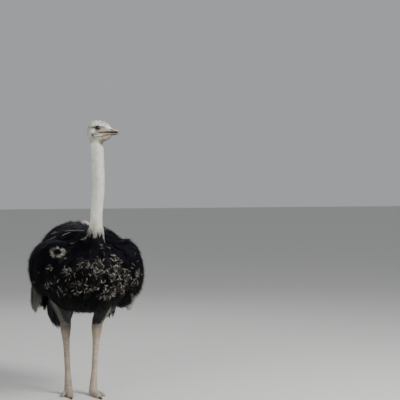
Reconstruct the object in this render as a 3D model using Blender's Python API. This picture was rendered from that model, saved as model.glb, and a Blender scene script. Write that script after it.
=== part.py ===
"""A life-size male ostrich, standing still with its head turned to its left.

Metres, +Z up, feet on Z = 0. The bird faces -Y, so its left side is +X. The origin is under the
middle of its box. Feathered pieces have the outer shape of the plumage.
"""

import math
from dataclasses import dataclass

import bmesh
import bpy
from mathutils import Matrix, Vector

# Heights above the floor
BACK_Z = 1.34
BELLY_Z = 0.645
EYE_Z = 2.0165
NECK_TOP_Z = 1.962
NECK_FOOT_Z = 1.18
KNEE_Z = 0.86
HOCK_Z = 0.50
ANKLE_Z = 0.052
TAIL_TIP_Z = 0.42

# Trunk and wings
TRUNK_HALF_WIDTH = 0.345
CHEST_Y = -0.54
RUMP_Y = 0.54
WING_FRONT_Y = -0.43
WING_REAR_Y = 0.45
TAIL_HALF_WIDTH = 0.135

# Neck and head
NECK_Y = -0.40
NECK_RADIUS = 0.0445
HEAD_TURN = math.radians(76)
HEAD_LIFT = math.radians(1)
EYE_RADIUS = 0.0215
EYE_SIDE = 0.0275
EYE_DROP = 0.0065  # how far the eyes lie below the head's own level
BILL_TIP = 0.159
GAPE = 0.012  # how far the bill's tips stand apart

# Each leg's knee, hock and foot: X out from the middle, and Y. Each wing's half spread and how far its
# lower edge is lifted, and X of its white plumes from top to bottom. The right wing is held higher.
STANCE = {
    "left": {
        "sign": 1, "knee": (0.190, -0.13), "hock": (0.128, 0.075), "foot": (0.077, 0.005),
        "wing": (0.440, 0.015), "plumes_x": (0.325, 0.378, 0.402),
    },
    "right": {
        "sign": -1, "knee": (0.220, -0.06), "hock": (0.102, 0.145), "foot": (0.095, 0.085),
        "wing": (0.422, 0.125), "plumes_x": (0.290, 0.330, 0.342),
    },
}
TOE_OUT = math.radians(6)
BIG_TOE = 0.150
SMALL_TOE = 0.098
CLAW = 0.042

GAP = 0.0004  # between neighbouring solids

BLACK_PLUME = ("black_plume", (0.018, 0.018, 0.021), 0.8)
WHITE_PLUME = ("white_plume", (0.60, 0.58, 0.53), 0.85)
TAIL_PLUME = ("tail_plume", (0.20, 0.17, 0.14), 0.85)
NECK_DOWN = ("neck_down", (0.56, 0.56, 0.52), 0.8)
FACE_SKIN = ("face_skin", (0.48, 0.44, 0.38), 0.6)
LEG_SKIN = ("leg_skin", (0.40, 0.34, 0.29), 0.55)
HORN = ("horn", (0.42, 0.33, 0.25), 0.4)
EYE = ("eye", (0.035, 0.018, 0.010), 0.08)


@dataclass
class Section:
    """One ring of a loft: an oval with its own top and bottom heights about a centre."""

    centre: Vector
    across: Vector
    up: Vector
    half_width: float
    top: float
    bottom: float
    squareness: float = 2.0
    floor: float = -9.0
    ridges: int = 0
    ridge_depth: float = 0.0

    def point(self, angle):
        power = 2 / self.squareness
        cosine, sine = math.cos(angle), math.sin(angle)
        wide = math.copysign(abs(cosine) ** power, cosine) * self.half_width
        high = math.copysign(abs(sine) ** power, sine) * (self.top if sine > 0 else self.bottom)
        swell = 1 + self.ridge_depth * math.cos(self.ridges * angle)
        place = self.centre + self.across * wide * swell + self.up * high * swell
        place.z = max(place.z, self.floor)
        return place


def smooth(keys, t):
    """Values at t on a smooth curve through (t, value, ...) keys that never overshoots them."""
    i = max(k for k in range(len(keys) - 1) if keys[k][0] <= t or k == 0)
    (t0, *start), (t1, *end) = keys[i], keys[i + 1]
    span = t1 - t0
    s = min(max((t - t0) / span, 0), 1)

    def slope(k, n):
        if k == 0 or k == len(keys) - 1:
            j = min(k, len(keys) - 2)
            return (keys[j + 1][n] - keys[j][n]) / (keys[j + 1][0] - keys[j][0])
        before = (keys[k][n] - keys[k - 1][n]) / (keys[k][0] - keys[k - 1][0])
        after = (keys[k + 1][n] - keys[k][n]) / (keys[k + 1][0] - keys[k][0])
        return 0 if before * after <= 0 else 2 * before * after / (before + after)

    return [
        (2 * s**3 - 3 * s**2 + 1) * a
        + (s**3 - 2 * s**2 + s) * span * slope(i, n)
        + (3 * s**2 - 2 * s**3) * b
        + (s**3 - s**2) * span * slope(i + 1, n)
        for n, (a, b) in enumerate(zip(start, end), 1)
    ]


def rounded(keys, t):
    """Like smooth, for half sizes: it runs on their squares, so that a shape's ends come out round."""
    squares = [(key[0], *(value * value for value in key[1:])) for key in keys]
    return [math.sqrt(max(value, 0)) for value in smooth(squares, t)]


def eased(start, end, count):
    """count places from start to end, closer together towards both ends."""
    return [
        start + (end - start) * (1 - math.cos(math.pi * i / (count - 1))) / 2 for i in range(count)
    ]


def even(start, end, count):
    return [start + (end - start) * i / (count - 1) for i in range(count)]


def material(finish):
    name, colour, roughness = finish
    made = bpy.data.materials.get(name)
    if not made:
        made = bpy.data.materials.new(name)
        made.use_nodes = True
        shader = made.node_tree.nodes["Principled BSDF"]
        shader.inputs["Base Color"].default_value = (*colour, 1)
        shader.inputs["Roughness"].default_value = roughness
        shader.inputs["Metallic"].default_value = 0.0
    return made


def add(name, mesh, finish, parent):
    data = bpy.data.meshes.new(name)
    mesh.to_mesh(data)
    mesh.free()
    data.shade_smooth()
    piece = bpy.data.objects.new(name, data)
    bpy.context.scene.collection.objects.link(piece)
    piece.data.materials.append(material(finish))
    piece.parent = parent
    return piece


def loft(name, sections, sides, finish, parent):
    """A closed body: the first ring's face is extruded from each section to the next."""
    mesh = bmesh.new()
    bmesh.ops.create_circle(mesh, cap_ends=True, segments=sides, radius=1)
    face = mesh.faces[:][0]
    for number, section in enumerate(sections):
        if number:
            face = bmesh.ops.extrude_discrete_faces(mesh, faces=[face])["faces"][0]
        for i, corner in enumerate(face.verts):
            corner.co = section.point(2 * math.pi * i / sides)
    bmesh.ops.holes_fill(mesh, edges=[edge for edge in mesh.edges if edge.is_boundary])
    bmesh.ops.recalc_face_normals(mesh, faces=mesh.faces)
    return add(name, mesh, finish, parent)


def ball(name, centre, half_sizes, finish, parent, segments=12, rings=8):
    mesh = bmesh.new()
    place = Matrix.Translation(centre) @ Matrix.Diagonal((*half_sizes, 1))
    bmesh.ops.create_uvsphere(
        mesh, u_segments=segments, v_segments=rings, radius=1, matrix=place
    )
    return add(name, mesh, finish, parent)


def hide(piece):
    piece.hide_render = True
    piece.display_type = "WIRE"


def cut(piece, *others):
    """Cuts from piece the whole form of each of the others, swollen by the gap."""
    for other in others:
        tool = bpy.data.objects.new(f"{piece.name}_less_{other.name}", other.data)
        bpy.context.scene.collection.objects.link(tool)
        tool.parent = other.parent
        hide(tool)
        swell = tool.modifiers.new("Swell", "DISPLACE")
        swell.strength = GAP
        swell.mid_level = 0
        part_off = piece.modifiers.new(f"Less {other.name}", "BOOLEAN")
        part_off.operation = "DIFFERENCE"
        part_off.object = tool
        part_off.solver = "EXACT"


def empty(name, place, turn=(0, 0, 0), parent=None):
    made = bpy.data.objects.new(name, None)
    bpy.context.scene.collection.objects.link(made)
    made.location = place
    made.rotation_euler = turn
    made.parent = parent
    return made


def cross_section(y, centre_z, half_width, half_height, x=0.0, squareness=2.0, **more):
    """An upright section across the bird's length."""
    return Section(
        Vector((x, y, centre_z)), Vector((1, 0, 0)), Vector((0, 0, 1)),
        half_width, half_height, half_height, squareness, **more,
    )


def along(path, t, sizes, squareness=2.0, **more):
    """A section square to a path at t; sizes are half its width and half its depth front to back."""
    step = 0.01
    here = Vector(smooth(path, t))
    direction = (Vector(smooth(path, t + step)) - Vector(smooth(path, t - step))).normalized()
    across = Vector((1, 0, 0))
    across = (across - direction * across.dot(direction)).normalized()
    wide, deep = sizes
    return Section(
        here, across, direction.cross(across), wide, deep, deep, squareness, **more
    )


def make_trunk(bird):
    """The feathered body from breast to rump, without wings, neck and legs."""
    middle_z = (BACK_Z + BELLY_Z) / 2
    half_height = (BACK_Z - BELLY_Z) / 2
    sizes = [
        (CHEST_Y, 0.02, 0.02),
        (-0.47, 0.60 * TRUNK_HALF_WIDTH, 0.58 * half_height),
        (-0.34, 0.84 * TRUNK_HALF_WIDTH, 0.83 * half_height),
        (-0.12, TRUNK_HALF_WIDTH, 0.98 * half_height),
        (0.08, TRUNK_HALF_WIDTH, half_height),
        (0.28, 0.86 * TRUNK_HALF_WIDTH, 0.84 * half_height),
        (0.44, 0.56 * TRUNK_HALF_WIDTH, 0.56 * half_height),
        (RUMP_Y, 0.03, 0.03),
    ]
    centres = [
        (CHEST_Y, middle_z - 0.01),
        (-0.34, middle_z - 0.01),
        (0.0, middle_z),
        (0.28, middle_z + 0.035),
        (RUMP_Y, middle_z + 0.06),
    ]
    sections = [
        cross_section(y, *smooth(centres, y), *rounded(sizes, y), squareness=2.15)
        for y in eased(CHEST_Y, RUMP_Y, 18)
    ]
    return loft("trunk", sections, 24, BLACK_PLUME, bird)


def make_wing(side, stance, bird):
    """A folded wing with its hanging plumes, as a thick shell over the trunk's side."""
    sign, (out, lift) = stance["sign"], stance["wing"]
    sizes = [  # how far out the middle is, its height, half thickness and half height
        (WING_FRONT_Y, out - 0.225, 1.06, 0.02, 0.03),
        (-0.36, out - 0.205, 1.03, 0.115, 0.175),
        (-0.22, out - 0.175, 0.965, 0.160, 0.255),
        (-0.05, out - 0.170, 0.930, 0.170, 0.282),
        (0.14, out - 0.180, 0.925, 0.160, 0.262),
        (0.30, out - 0.215, 0.955, 0.135, 0.205),
        (0.40, out - 0.260, 0.985, 0.095, 0.135),
        (WING_REAR_Y, out - 0.300, 1.00, 0.02, 0.03),
    ]
    lean = math.radians(5)
    sections = []
    for y in eased(WING_FRONT_Y, WING_REAR_Y, 15):
        out_x, z = smooth([key[:3] for key in sizes], y)
        thick, high = rounded([(key[0], *key[3:]) for key in sizes], y)
        raised = lift / 2 * high / sizes[3][4]
        z, high = z + raised, high - raised
        sections.append(
            Section(
                Vector((sign * out_x, y, z)),
                Vector((math.cos(lean), 0, sign * math.sin(lean))),
                Vector((-sign * math.sin(lean), 0, math.cos(lean))),
                thick, high, high, 2.1,
            )
        )
    return loft(f"wing_{side}", sections, 18, BLACK_PLUME, bird)


def make_primaries(side, stance, bird):
    """The long white plumes that hang from the wing's lower edge."""
    top_x, middle_x, tip_x = (stance["sign"] * x for x in stance["plumes_x"])
    lift = stance["wing"][1]
    path = [
        (0.0, top_x, 0.09, 0.86 + 0.4 * lift),
        (0.4, middle_x, 0.13, 0.77 + 0.2 * lift),
        (1.0, tip_x, 0.20, 0.645),
    ]
    sizes = [(0.0, 0.040, 0.12), (0.35, 0.040, 0.15), (0.8, 0.030, 0.115), (1.0, 0.006, 0.03)]
    sections = [
        along(path, t, rounded(sizes, t), ridges=7, ridge_depth=0.035 + 0.05 * t)
        for t in eased(0.0, 1.0, 9)
    ]
    return loft(f"primaries_{side}", sections, 28, WHITE_PLUME, bird)


def make_tail(bird):
    """The drooping tail plumes, ridged along their length."""
    path = [
        (0.0, 0.0, 0.38, 1.06),
        (0.25, 0.0, 0.56, 0.98),
        (0.5, -0.008, 0.665, 0.82),
        (0.75, -0.022, 0.69, 0.62),
        (1.0, -0.035, 0.655, TAIL_TIP_Z),
    ]
    sizes = [
        (0.0, 0.70 * TAIL_HALF_WIDTH, 0.11),
        (0.3, TAIL_HALF_WIDTH, 0.105),
        (0.6, 1.05 * TAIL_HALF_WIDTH, 0.080),
        (0.85, 0.90 * TAIL_HALF_WIDTH, 0.055),
        (1.0, 0.45 * TAIL_HALF_WIDTH, 0.012),
    ]
    sections = [
        along(path, t, rounded(sizes, t), ridges=7, ridge_depth=0.02 + 0.05 * t)
        for t in eased(0.0, 1.0, 12)
    ]
    return loft("tail", sections, 28, TAIL_PLUME, bird)


def make_neck(bird):
    """The neck in three lengths, from its root in the trunk to under the head."""
    height = [NECK_FOOT_Z, 1.27, 1.36, 1.62, 1.84, 1.91, NECK_TOP_Z + 0.02]
    path = [
        (height[0], 0.0, NECK_Y + 0.07, height[0]),
        (height[1], -0.002, NECK_Y + 0.012, height[1]),
        (height[2], -0.005, NECK_Y - 0.010, height[2]),
        (height[3], 0.010, NECK_Y - 0.020, height[3]),
        (height[4], 0.007, NECK_Y - 0.003, height[4]),
        (height[5], 0.002, NECK_Y + 0.001, height[5]),
        (height[6], -0.003, NECK_Y + 0.002, height[6]),
    ]
    sizes = [
        (height[0], 1.95 * NECK_RADIUS, 2.5 * NECK_RADIUS),
        (height[1], 1.25 * NECK_RADIUS, 1.55 * NECK_RADIUS),
        (height[2], 1.02 * NECK_RADIUS, 1.12 * NECK_RADIUS),
        (height[3], 1.03 * NECK_RADIUS, 1.05 * NECK_RADIUS),
        (height[4], 1.05 * NECK_RADIUS, 1.06 * NECK_RADIUS),
        (height[5], 1.13 * NECK_RADIUS, 1.06 * NECK_RADIUS),
        (height[6], 1.25 * NECK_RADIUS, 1.04 * NECK_RADIUS),
    ]
    lengths = [("lower", NECK_FOOT_Z, 1.42), ("middle", 1.42, 1.66), ("upper", 1.66, NECK_TOP_Z)]
    made = []
    for name, foot, top in lengths:
        sections = [
            along(path, z, smooth(sizes, z)) for z in even(foot + GAP / 2, top - GAP / 2, 7)
        ]
        made.append(loft(f"neck_{name}", sections, 18, NECK_DOWN, bird))
    return made


def make_head(place):
    """The head with its open mouth. In its own space it faces -Y, and its level is just above the eyes."""
    profile = [  # distance ahead of the eyes, half width, height above and depth below its middle
        (-0.0745, 0.006, 0.012, 0.012),
        (-0.062, 0.027, 0.053, 0.035),
        (-0.040, 0.0395, 0.066, 0.049),
        (-0.010, 0.0440, 0.069, 0.057),
        (0.020, 0.0430, 0.067, 0.052),
        (0.050, 0.0355, 0.058, 0.041),
        (0.078, 0.0285, 0.047, 0.034),
        (0.097, 0.0240, 0.028, 0.026),
    ]
    centre_z = [(-0.0745, -0.037), (-0.01, -0.018), (0.05, -0.020), (0.097, -0.028)]
    sections = []
    for ahead in eased(profile[0][0], profile[-1][0], 14):
        half_width, top, bottom = rounded(profile, ahead)
        sections.append(
            Section(
                Vector((0, -ahead, *smooth(centre_z, ahead))),
                Vector((1, 0, 0)), Vector((0, 0, 1)),
                half_width, top, bottom, 2.25,
            )
        )
    return loft("head", sections, 24, FACE_SKIN, place)


def make_mouth_cutter(place):
    """The wedge between the jaws, from the corner of the mouth to past the bill's tips."""
    corner, front = 0.002, BILL_TIP + 0.03
    sections = []
    for ahead in even(corner, front, 7):
        opening = 0.0007 + (GAPE / 2 - 0.0007) * min((ahead - corner) / (BILL_TIP - corner), 1)
        rise = 0.004 * math.sin(math.pi * (ahead - corner) / (front - corner))
        sections.append(
            Section(
                Vector((0, -ahead, -0.0385 + rise)), Vector((1, 0, 0)), Vector((0, 0, 1)),
                0.07, opening, opening, 8.0,
            )
        )
    cutter = loft("mouth_cutter", sections, 12, FACE_SKIN, place)
    hide(cutter)
    return cutter


def make_bill(place):
    """The horny sheaths of both jaws, broad and flat with round tips."""
    root = 0.080
    upper = [  # distance ahead, half width, height of the culmen, depth to the cutting edge
        (root, 0.0262, 0.020, 0.0200),
        (0.110, 0.0222, 0.0165, 0.0165),
        (0.138, 0.0165, 0.0115, 0.0115),
        (0.152, 0.0105, 0.0075, 0.006),
        (BILL_TIP, 0.0030, 0.0015, 0.001),
    ]
    lower = [
        (root, 0.0245, 0.0070, 0.0160),
        (0.110, 0.0205, 0.0065, 0.0135),
        (0.138, 0.0150, 0.0060, 0.0085),
        (0.150, 0.0095, 0.004, 0.0050),
        (BILL_TIP - 0.004, 0.0028, 0.001, 0.0012),
    ]
    upper_z = [(root, -0.016), (0.110, -0.0185), (0.138, -0.0205), (BILL_TIP, -0.0265)]
    lower_z = [(root, -0.041), (0.110, -0.0415), (0.138, -0.0425), (BILL_TIP, -0.0430)]
    made = []
    for name, profile, heights in (("upper", upper, upper_z), ("lower", lower, lower_z)):
        sections = []
        for ahead in eased(root, profile[-1][0], 9):
            half_width, top, bottom = rounded(profile, ahead)
            sections.append(
                Section(
                    Vector((0, -ahead, *smooth(heights, ahead))),
                    Vector((1, 0, 0)), Vector((0, 0, 1)),
                    half_width, top, bottom, 2.2,
                )
            )
        made.append(loft(f"bill_{name}", sections, 16, HORN, place))
    return made


def make_throat(place):
    """The slack skin of the throat, swollen below the jaws."""
    profile = [  # distance ahead of the eyes, half width, height above and depth below its centre
        (-0.030, 0.010, 0.010, 0.010),
        (-0.010, 0.027, 0.022, 0.024),
        (0.030, 0.0330, 0.026, 0.0330),
        (0.065, 0.0275, 0.024, 0.0300),
        (0.092, 0.0180, 0.014, 0.0190),
        (0.104, 0.0060, 0.004, 0.0070),
    ]
    centre_z = [(-0.030, -0.078), (0.030, -0.073), (0.065, -0.068), (0.104, -0.058)]
    sections = []
    for ahead in eased(-0.030, 0.104, 9):
        half_width, top, bottom = rounded(profile, ahead)
        sections.append(
            Section(
                Vector((0, -ahead, *smooth(centre_z, ahead))),
                Vector((1, 0, 0)), Vector((0, 0, 1)),
                half_width, top, bottom,
            )
        )
    return loft("throat", sections, 14, FACE_SKIN, place)


def make_eye(side, sign, place):
    return ball(
        f"eye_{side}", Vector((sign * EYE_SIDE, 0, -EYE_DROP)), (EYE_RADIUS,) * 3, EYE, place
    )


def make_ear(side, sign, place):
    """The ring of skin round the ear's opening, behind and below the eye."""
    return ball(
        f"ear_{side}", Vector((sign * 0.0345, 0.034, -0.056)), (0.0055, 0.0085, 0.0105),
        FACE_SKIN, place, 10, 6,
    )


def make_thigh(side, stance, bird):
    """The bare drumstick, from under the wing back and down to the hock."""
    sign = stance["sign"]
    (knee_x, knee_y), (hock_x, hock_y) = stance["knee"], stance["hock"]
    path = [
        (0.0, sign * knee_x, knee_y, KNEE_Z),
        (0.6, sign * (0.35 * knee_x + 0.65 * hock_x), 0.4 * knee_y + 0.6 * hock_y, 0.66),
        (1.0, sign * hock_x, hock_y, HOCK_Z + 0.045),
    ]
    sizes = [
        (0.0, 0.070, 0.100),
        (0.25, 0.085, 0.115),
        (0.55, 0.066, 0.088),
        (0.80, 0.047, 0.055),
        (1.0, 0.041, 0.046),
    ]
    sections = [along(path, t, smooth(sizes, t)) for t in even(0.0, 1.0, 9)]
    return loft(f"thigh_{side}", sections, 16, LEG_SKIN, bird)


def make_shank(side, stance, bird):
    """The long scaled foot bone, with the thick hock at its top and the toes' joint at its foot."""
    sign = stance["sign"]
    (hock_x, hock_y), (foot_x, foot_y) = stance["hock"], stance["foot"]
    top = HOCK_Z + 0.045 - GAP
    path = [
        (0.0, sign * hock_x, hock_y, top),
        (0.12, sign * (0.97 * hock_x + 0.03 * foot_x), hock_y + 0.006, HOCK_Z - 0.005),
        (0.3, sign * (0.78 * hock_x + 0.22 * foot_x), 0.84 * hock_y + 0.16 * foot_y, 0.40),
        (1.0, sign * foot_x, foot_y, ANKLE_Z - 0.02),
    ]
    sizes = [
        (0.0, 0.041, 0.046),
        (0.10, 0.041, 0.049),
        (0.24, 0.0300, 0.036),
        (0.40, 0.0232, 0.029),
        (0.72, 0.0215, 0.026),
        (0.88, 0.0285, 0.030),
        (1.0, 0.0325, 0.036),
    ]
    sections = [along(path, t, smooth(sizes, t)) for t in even(0.0, 1.0, 13)]
    return loft(f"shank_{side}", sections, 12, LEG_SKIN, bird)


def make_toe(name, profile, count, place, finish=LEG_SKIN, sides=14):
    """A toe or claw laid along its own -Y with a flat sole on the floor.

    profile holds (distance ahead, half width, height of the top).
    """
    sections = []
    for ahead in eased(profile[0][0], profile[-1][0], count):
        half_width, top = rounded(profile, ahead)
        middle = 0.45 * top
        sections.append(
            Section(
                Vector((0, -ahead, middle)), Vector((1, 0, 0)), Vector((0, 0, 1)),
                half_width, top - middle, 1.25 * middle, 2.3, floor=0.0,
            )
        )
    return loft(name, sections, sides, finish, place)


def make_foot(side, stance, bird):
    """The big inner toe with its claw, and the small outer toe."""
    sign = stance["sign"]
    foot_x, foot_y = stance["foot"]
    turned = sign * TOE_OUT
    place = empty(f"foot_{side}_place", (sign * foot_x, foot_y, 0), (0, 0, turned), bird)
    big = make_toe(
        f"big_toe_{side}",
        [
            (-0.038, 0.012, 0.022),
            (-0.020, 0.0285, 0.046),
            (0.015, 0.0325, 0.056),
            (0.065, 0.0270, 0.040),
            (0.110, 0.0245, 0.034),
            (BIG_TOE - 0.012, 0.0190, 0.026),
            (BIG_TOE, 0.0070, 0.013),
        ],
        11,
        place,
    )
    claw = make_toe(
        f"claw_{side}",
        [
            (BIG_TOE - 0.022, 0.0125, 0.0215),
            (BIG_TOE + 0.35 * CLAW, 0.0105, 0.0155),
            (BIG_TOE + CLAW - 0.004, 0.0055, 0.0065),
            (BIG_TOE + CLAW, 0.0020, 0.0025),
        ],
        6,
        place,
        HORN,
        8,
    )
    small_place = empty(
        f"small_toe_{side}_place", (sign * 0.022, -0.004, 0), (0, 0, sign * math.radians(24)), place
    )
    small = make_toe(
        f"small_toe_{side}",
        [
            (-0.022, 0.010, 0.018),
            (-0.008, 0.0185, 0.036),
            (0.030, 0.0190, 0.034),
            (0.070, 0.0170, 0.027),
            (SMALL_TOE - 0.008, 0.0125, 0.019),
            (SMALL_TOE, 0.0045, 0.008),
        ],
        9,
        small_place,
        sides=12,
    )
    return big, small, claw


def stand_over_origin(bird):
    """Moves the bird so that the middle of its box is over the origin."""
    bpy.context.view_layer.update()
    graph = bpy.context.evaluated_depsgraph_get()
    corners = [
        piece.matrix_world @ Vector(corner)
        for piece in bpy.context.scene.objects
        if piece.type == "MESH" and not piece.hide_render
        for corner in piece.evaluated_get(graph).bound_box
    ]
    for axis in (0, 1):
        values = [corner[axis] for corner in corners]
        bird.location[axis] = -(min(values) + max(values)) / 2


def main():
    for old in list(bpy.data.objects):
        bpy.data.objects.remove(old)
    bird = empty("ostrich", (0, 0, 0))
    head_place = empty(
        "head_place", (0.0085, NECK_Y, EYE_Z + EYE_DROP), (HEAD_LIFT, 0, HEAD_TURN), bird
    )

    trunk = make_trunk(bird)
    head = make_head(head_place)
    mouth = make_mouth_cutter(head_place)
    bill_upper, bill_lower = make_bill(head_place)
    throat = make_throat(head_place)
    neck_lower, _, neck_upper = make_neck(bird)
    tail = make_tail(bird)
    cut(neck_lower, trunk)
    cut(neck_upper, head)
    cut(tail, trunk)
    cut(throat, head, neck_upper)
    cut(bill_upper, head, mouth)
    cut(bill_lower, head, throat, mouth)
    cut(head, mouth)

    for side, stance in STANCE.items():
        sign = stance["sign"]
        wing = make_wing(side, stance, bird)
        primaries = make_primaries(side, stance, bird)
        eye = make_eye(side, sign, head_place)
        ear = make_ear(side, sign, head_place)
        thigh = make_thigh(side, stance, bird)
        shank = make_shank(side, stance, bird)
        big_toe, small_toe, claw = make_foot(side, stance, bird)
        cut(wing, trunk, thigh)
        cut(primaries, trunk, wing, thigh)
        cut(head, eye, ear)
        cut(neck_upper, ear)
        cut(thigh, trunk)
        cut(shank, thigh, big_toe)
        cut(small_toe, big_toe, shank)
        cut(claw, big_toe)
    stand_over_origin(bird)


main()
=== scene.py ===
"""The looks of the ostrich: one skin over its flesh, and its plumes, down, bill, eyes, scutes and claws.

Metres, +Z up, in the frame's own space. The bird faces -Y and its left side is +X. Feathers are
ribbons of mesh that follow the lie of the coat over the skin.
"""

import math

import bmesh
import bpy
import numpy as np
from mathutils import Matrix, Vector
from mathutils.bvhtree import BVHTree


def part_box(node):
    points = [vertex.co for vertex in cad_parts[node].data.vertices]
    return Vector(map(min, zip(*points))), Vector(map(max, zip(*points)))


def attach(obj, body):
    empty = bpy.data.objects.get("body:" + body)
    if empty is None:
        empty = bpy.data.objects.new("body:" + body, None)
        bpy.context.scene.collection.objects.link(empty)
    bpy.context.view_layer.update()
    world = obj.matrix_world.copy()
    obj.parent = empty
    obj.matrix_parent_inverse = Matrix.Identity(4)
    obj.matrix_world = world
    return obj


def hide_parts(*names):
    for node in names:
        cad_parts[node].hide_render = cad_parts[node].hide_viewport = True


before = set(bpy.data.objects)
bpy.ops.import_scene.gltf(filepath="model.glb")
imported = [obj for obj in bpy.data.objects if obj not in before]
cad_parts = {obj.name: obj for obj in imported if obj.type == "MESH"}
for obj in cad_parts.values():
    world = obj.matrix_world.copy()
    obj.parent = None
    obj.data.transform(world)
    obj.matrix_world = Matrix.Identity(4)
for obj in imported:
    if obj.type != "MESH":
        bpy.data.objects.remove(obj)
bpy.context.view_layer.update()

# Where the camera stands: out from the bird's middle, above the floor, and turned off it
CAMERA_DISTANCE = 7.5
CAMERA_HEIGHT = 1.6
CAMERA_AZIMUTH = math.radians(-14)
CAMERA_PAN = math.radians(-6.815)
CAMERA_TILT = math.radians(-0.819)
CAMERA_LENS = 88.11  # millimetres, as is the next
CAMERA_SENSOR = 36
ACROSS_VIEW = np.array([math.cos(CAMERA_AZIMUTH), math.sin(CAMERA_AZIMUTH), 0])  # to the view's right
FLOOR_HALF = 60  # from the middle of the floor to its edges

COAT_DEPTH = 0.036  # from the skin to the plumes' tips, over the trunk and wings
TIP_DEPTH = 0.008  # from the solids' outsides in to the plumes' outermost shafts
NECK_COAT = 0.0045
PATCH = 0.003  # how wide each tuft is on the OFBake map
MOST_FACES = 198000  # in one piece of the coat
MOST_IN_RUN = 190000  # in one run of ribbons, which isn't split over two pieces

# How wide the faces are on the skin's parts, before they are joined, and on the plumage's outside
TORSO_FACE = 0.014
NECK_ROOT_FACE = 0.010
HEAD_FACE = 0.0034
LEG_FACE = 0.0056
PLUMAGE_FACE = 0.012

# How far apart the roots of the coat are
PLUME_SPACING = 0.0195
CLUMP_SPACING = 0.046
STRAY_SPACING = 0.105
COLLAR_SPACING = 0.0075
NECK_SPACING = 0.0036
HEAD_SPACING = 0.0023

SIDES = {"left": 1, "right": -1}
EYE_CENTRES = {side: sum(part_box(f"eye_{side}"), Vector()) / 2 for side in SIDES}
BETWEEN_EYES = EYE_CENTRES["left"] - EYE_CENTRES["right"]
EYE_SIDE = BETWEEN_EYES.length / 2
EYE_RADIUS = (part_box("eye_left")[1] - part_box("eye_left")[0]).z / 2
EYE_UP = -0.0065  # how high the eyes lie in the head's own axes
EAR = (-0.032, -0.0575)  # how far ahead and how high the ears lie in them
HEAD_PLACE = (EYE_CENTRES["left"] + EYE_CENTRES["right"]) / 2 - Vector((0, 0, EYE_UP))
HEAD_SIDE = BETWEEN_EYES.normalized()
HEAD_UP = (Vector((0, 0, 1)) - HEAD_SIDE * HEAD_SIDE.z).normalized()
HEAD_AHEAD = HEAD_SIDE.cross(HEAD_UP)
HEAD_AXES = np.array([HEAD_SIDE, HEAD_AHEAD, HEAD_UP])

TRUNK_LOW, TRUNK_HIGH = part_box("trunk")
TRUNK_MIDDLE = (TRUNK_LOW + TRUNK_HIGH) / 2
NECK_LOW, NECK_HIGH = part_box("neck_lower")
NECK_FOOT = Vector(((NECK_LOW.x + NECK_HIGH.x) / 2, (NECK_LOW.y + NECK_HIGH.y) / 2, NECK_LOW.z))

HOCK_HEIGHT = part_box("thigh_left")[0].z
HOCK_HALF, HOCK_DEEP = 0.041, 0.046  # from a hock's middle to the shank's outer side, and to its back
HOCKS = np.array([
    [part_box("shank_right")[0].x + HOCK_HALF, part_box("shank_right")[1].y - HOCK_DEEP],
    [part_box("shank_left")[1].x - HOCK_HALF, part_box("shank_left")[1].y - HOCK_DEEP],
])


def linear(red, green, blue):
    """A colour from 0 to 255 sRGB values, as the shaders take it."""
    shares = (red / 255, green / 255, blue / 255)
    return np.array([c / 12.92 if c <= 0.04045 else ((c + 0.055) / 1.055) ** 2.4 for c in shares])


BLACK = linear(8, 8, 11)
# a painted bluish sheen, the sky's reflection on the upper plumes
SHEEN_BLUE_BLACK = linear(14, 14, 24)
UNDERCOAT = linear(6, 6, 7)
PALE_TIP = linear(184, 177, 162)
WHITE = linear(222, 220, 212)
# the white primaries painted dim grey as shade
SHADED_WHITE_PLUME = linear(92, 92, 82)
ROSY_WHITE = linear(214, 202, 196)
NECK_DOWN = linear(224, 224, 214)
NECK_PATCH = linear(186, 182, 146)
CROWN = linear(228, 228, 218)
CHEEK = linear(158, 157, 142)
FACE = linear(150, 135, 122)
THROAT = linear(146, 141, 128)
# painted shade under the throat and the lower jaw
JOWL_SHADE = linear(84, 81, 68)
# dark brown painted shade for the mouth's inside, the nostrils and the lips' edges
MOUTH_SHADE = linear(62, 40, 31)
# the fold's reddish tint, darkened as painted shade in its crease
FOLD_TINT_AND_SHADE = linear(104, 86, 76)
LORE = linear(88, 80, 74)
UPPER_HORN = linear(150, 134, 114)
# painted shade on the upper horn's lower edge, and the lower horn painted darker, under the upper bill
UPPER_EDGE_SHADE = linear(96, 84, 68)
LOWER_HORN_SHADE = linear(98, 86, 70)
HORN_EDGE = linear(104, 82, 66)
NAIL = linear(140, 134, 119)
LEG = linear(160, 147, 131)
HOCK = linear(84, 82, 75)
HOCK_PALE = linear(138, 134, 123)
# near-black painted shade for the thighs, and the pale painted highlight of their stripe
THIGH_SHADE = linear(16, 17, 14)
THIGH_LIT_STRIPE = linear(116, 113, 101)
SOLE = linear(146, 132, 116)
CLAW_ROOT = linear(98, 82, 68)
CLAW_TIP = linear(52, 44, 38)
PUPIL = linear(6, 6, 7)
IRIS = linear(40, 25, 18)
IRIS_RIM = linear(22, 14, 11)
EYE_EDGE = linear(16, 11, 9)
LID_EDGE = linear(66, 56, 52)
LASH_TONE = linear(22, 18, 16)
BRISTLE = linear(120, 114, 104)
LOCK_END = linear(122, 116, 106)
BROWN_PLUME = linear(32, 27, 24)
FADED_END = linear(58, 55, 50)
WORN_END = linear(92, 88, 80)
LONG_WISP = linear(165, 163, 165)
TAIL_TONE = linear(40, 35, 30)
# near-black painted shade for the tail
TAIL_SHADE = linear(12, 11, 10)


# ---------------------------------------------------------------- numbers and places


def ramp(values, start, end):
    """0 at start to 1 at end, eased."""
    t = np.clip((np.asarray(values) - start) / (end - start), 0, 1)
    return t * t * (3 - 2 * t)


def mixed(first, second, share):
    """first where share is 0, second where it is 1."""
    return first + (second - first) * np.asarray(share)[..., None]


def unit(vectors):
    """The vectors at length 1."""
    return vectors / np.maximum(np.linalg.norm(vectors, axis=-1, keepdims=True), 1e-9)


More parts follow.
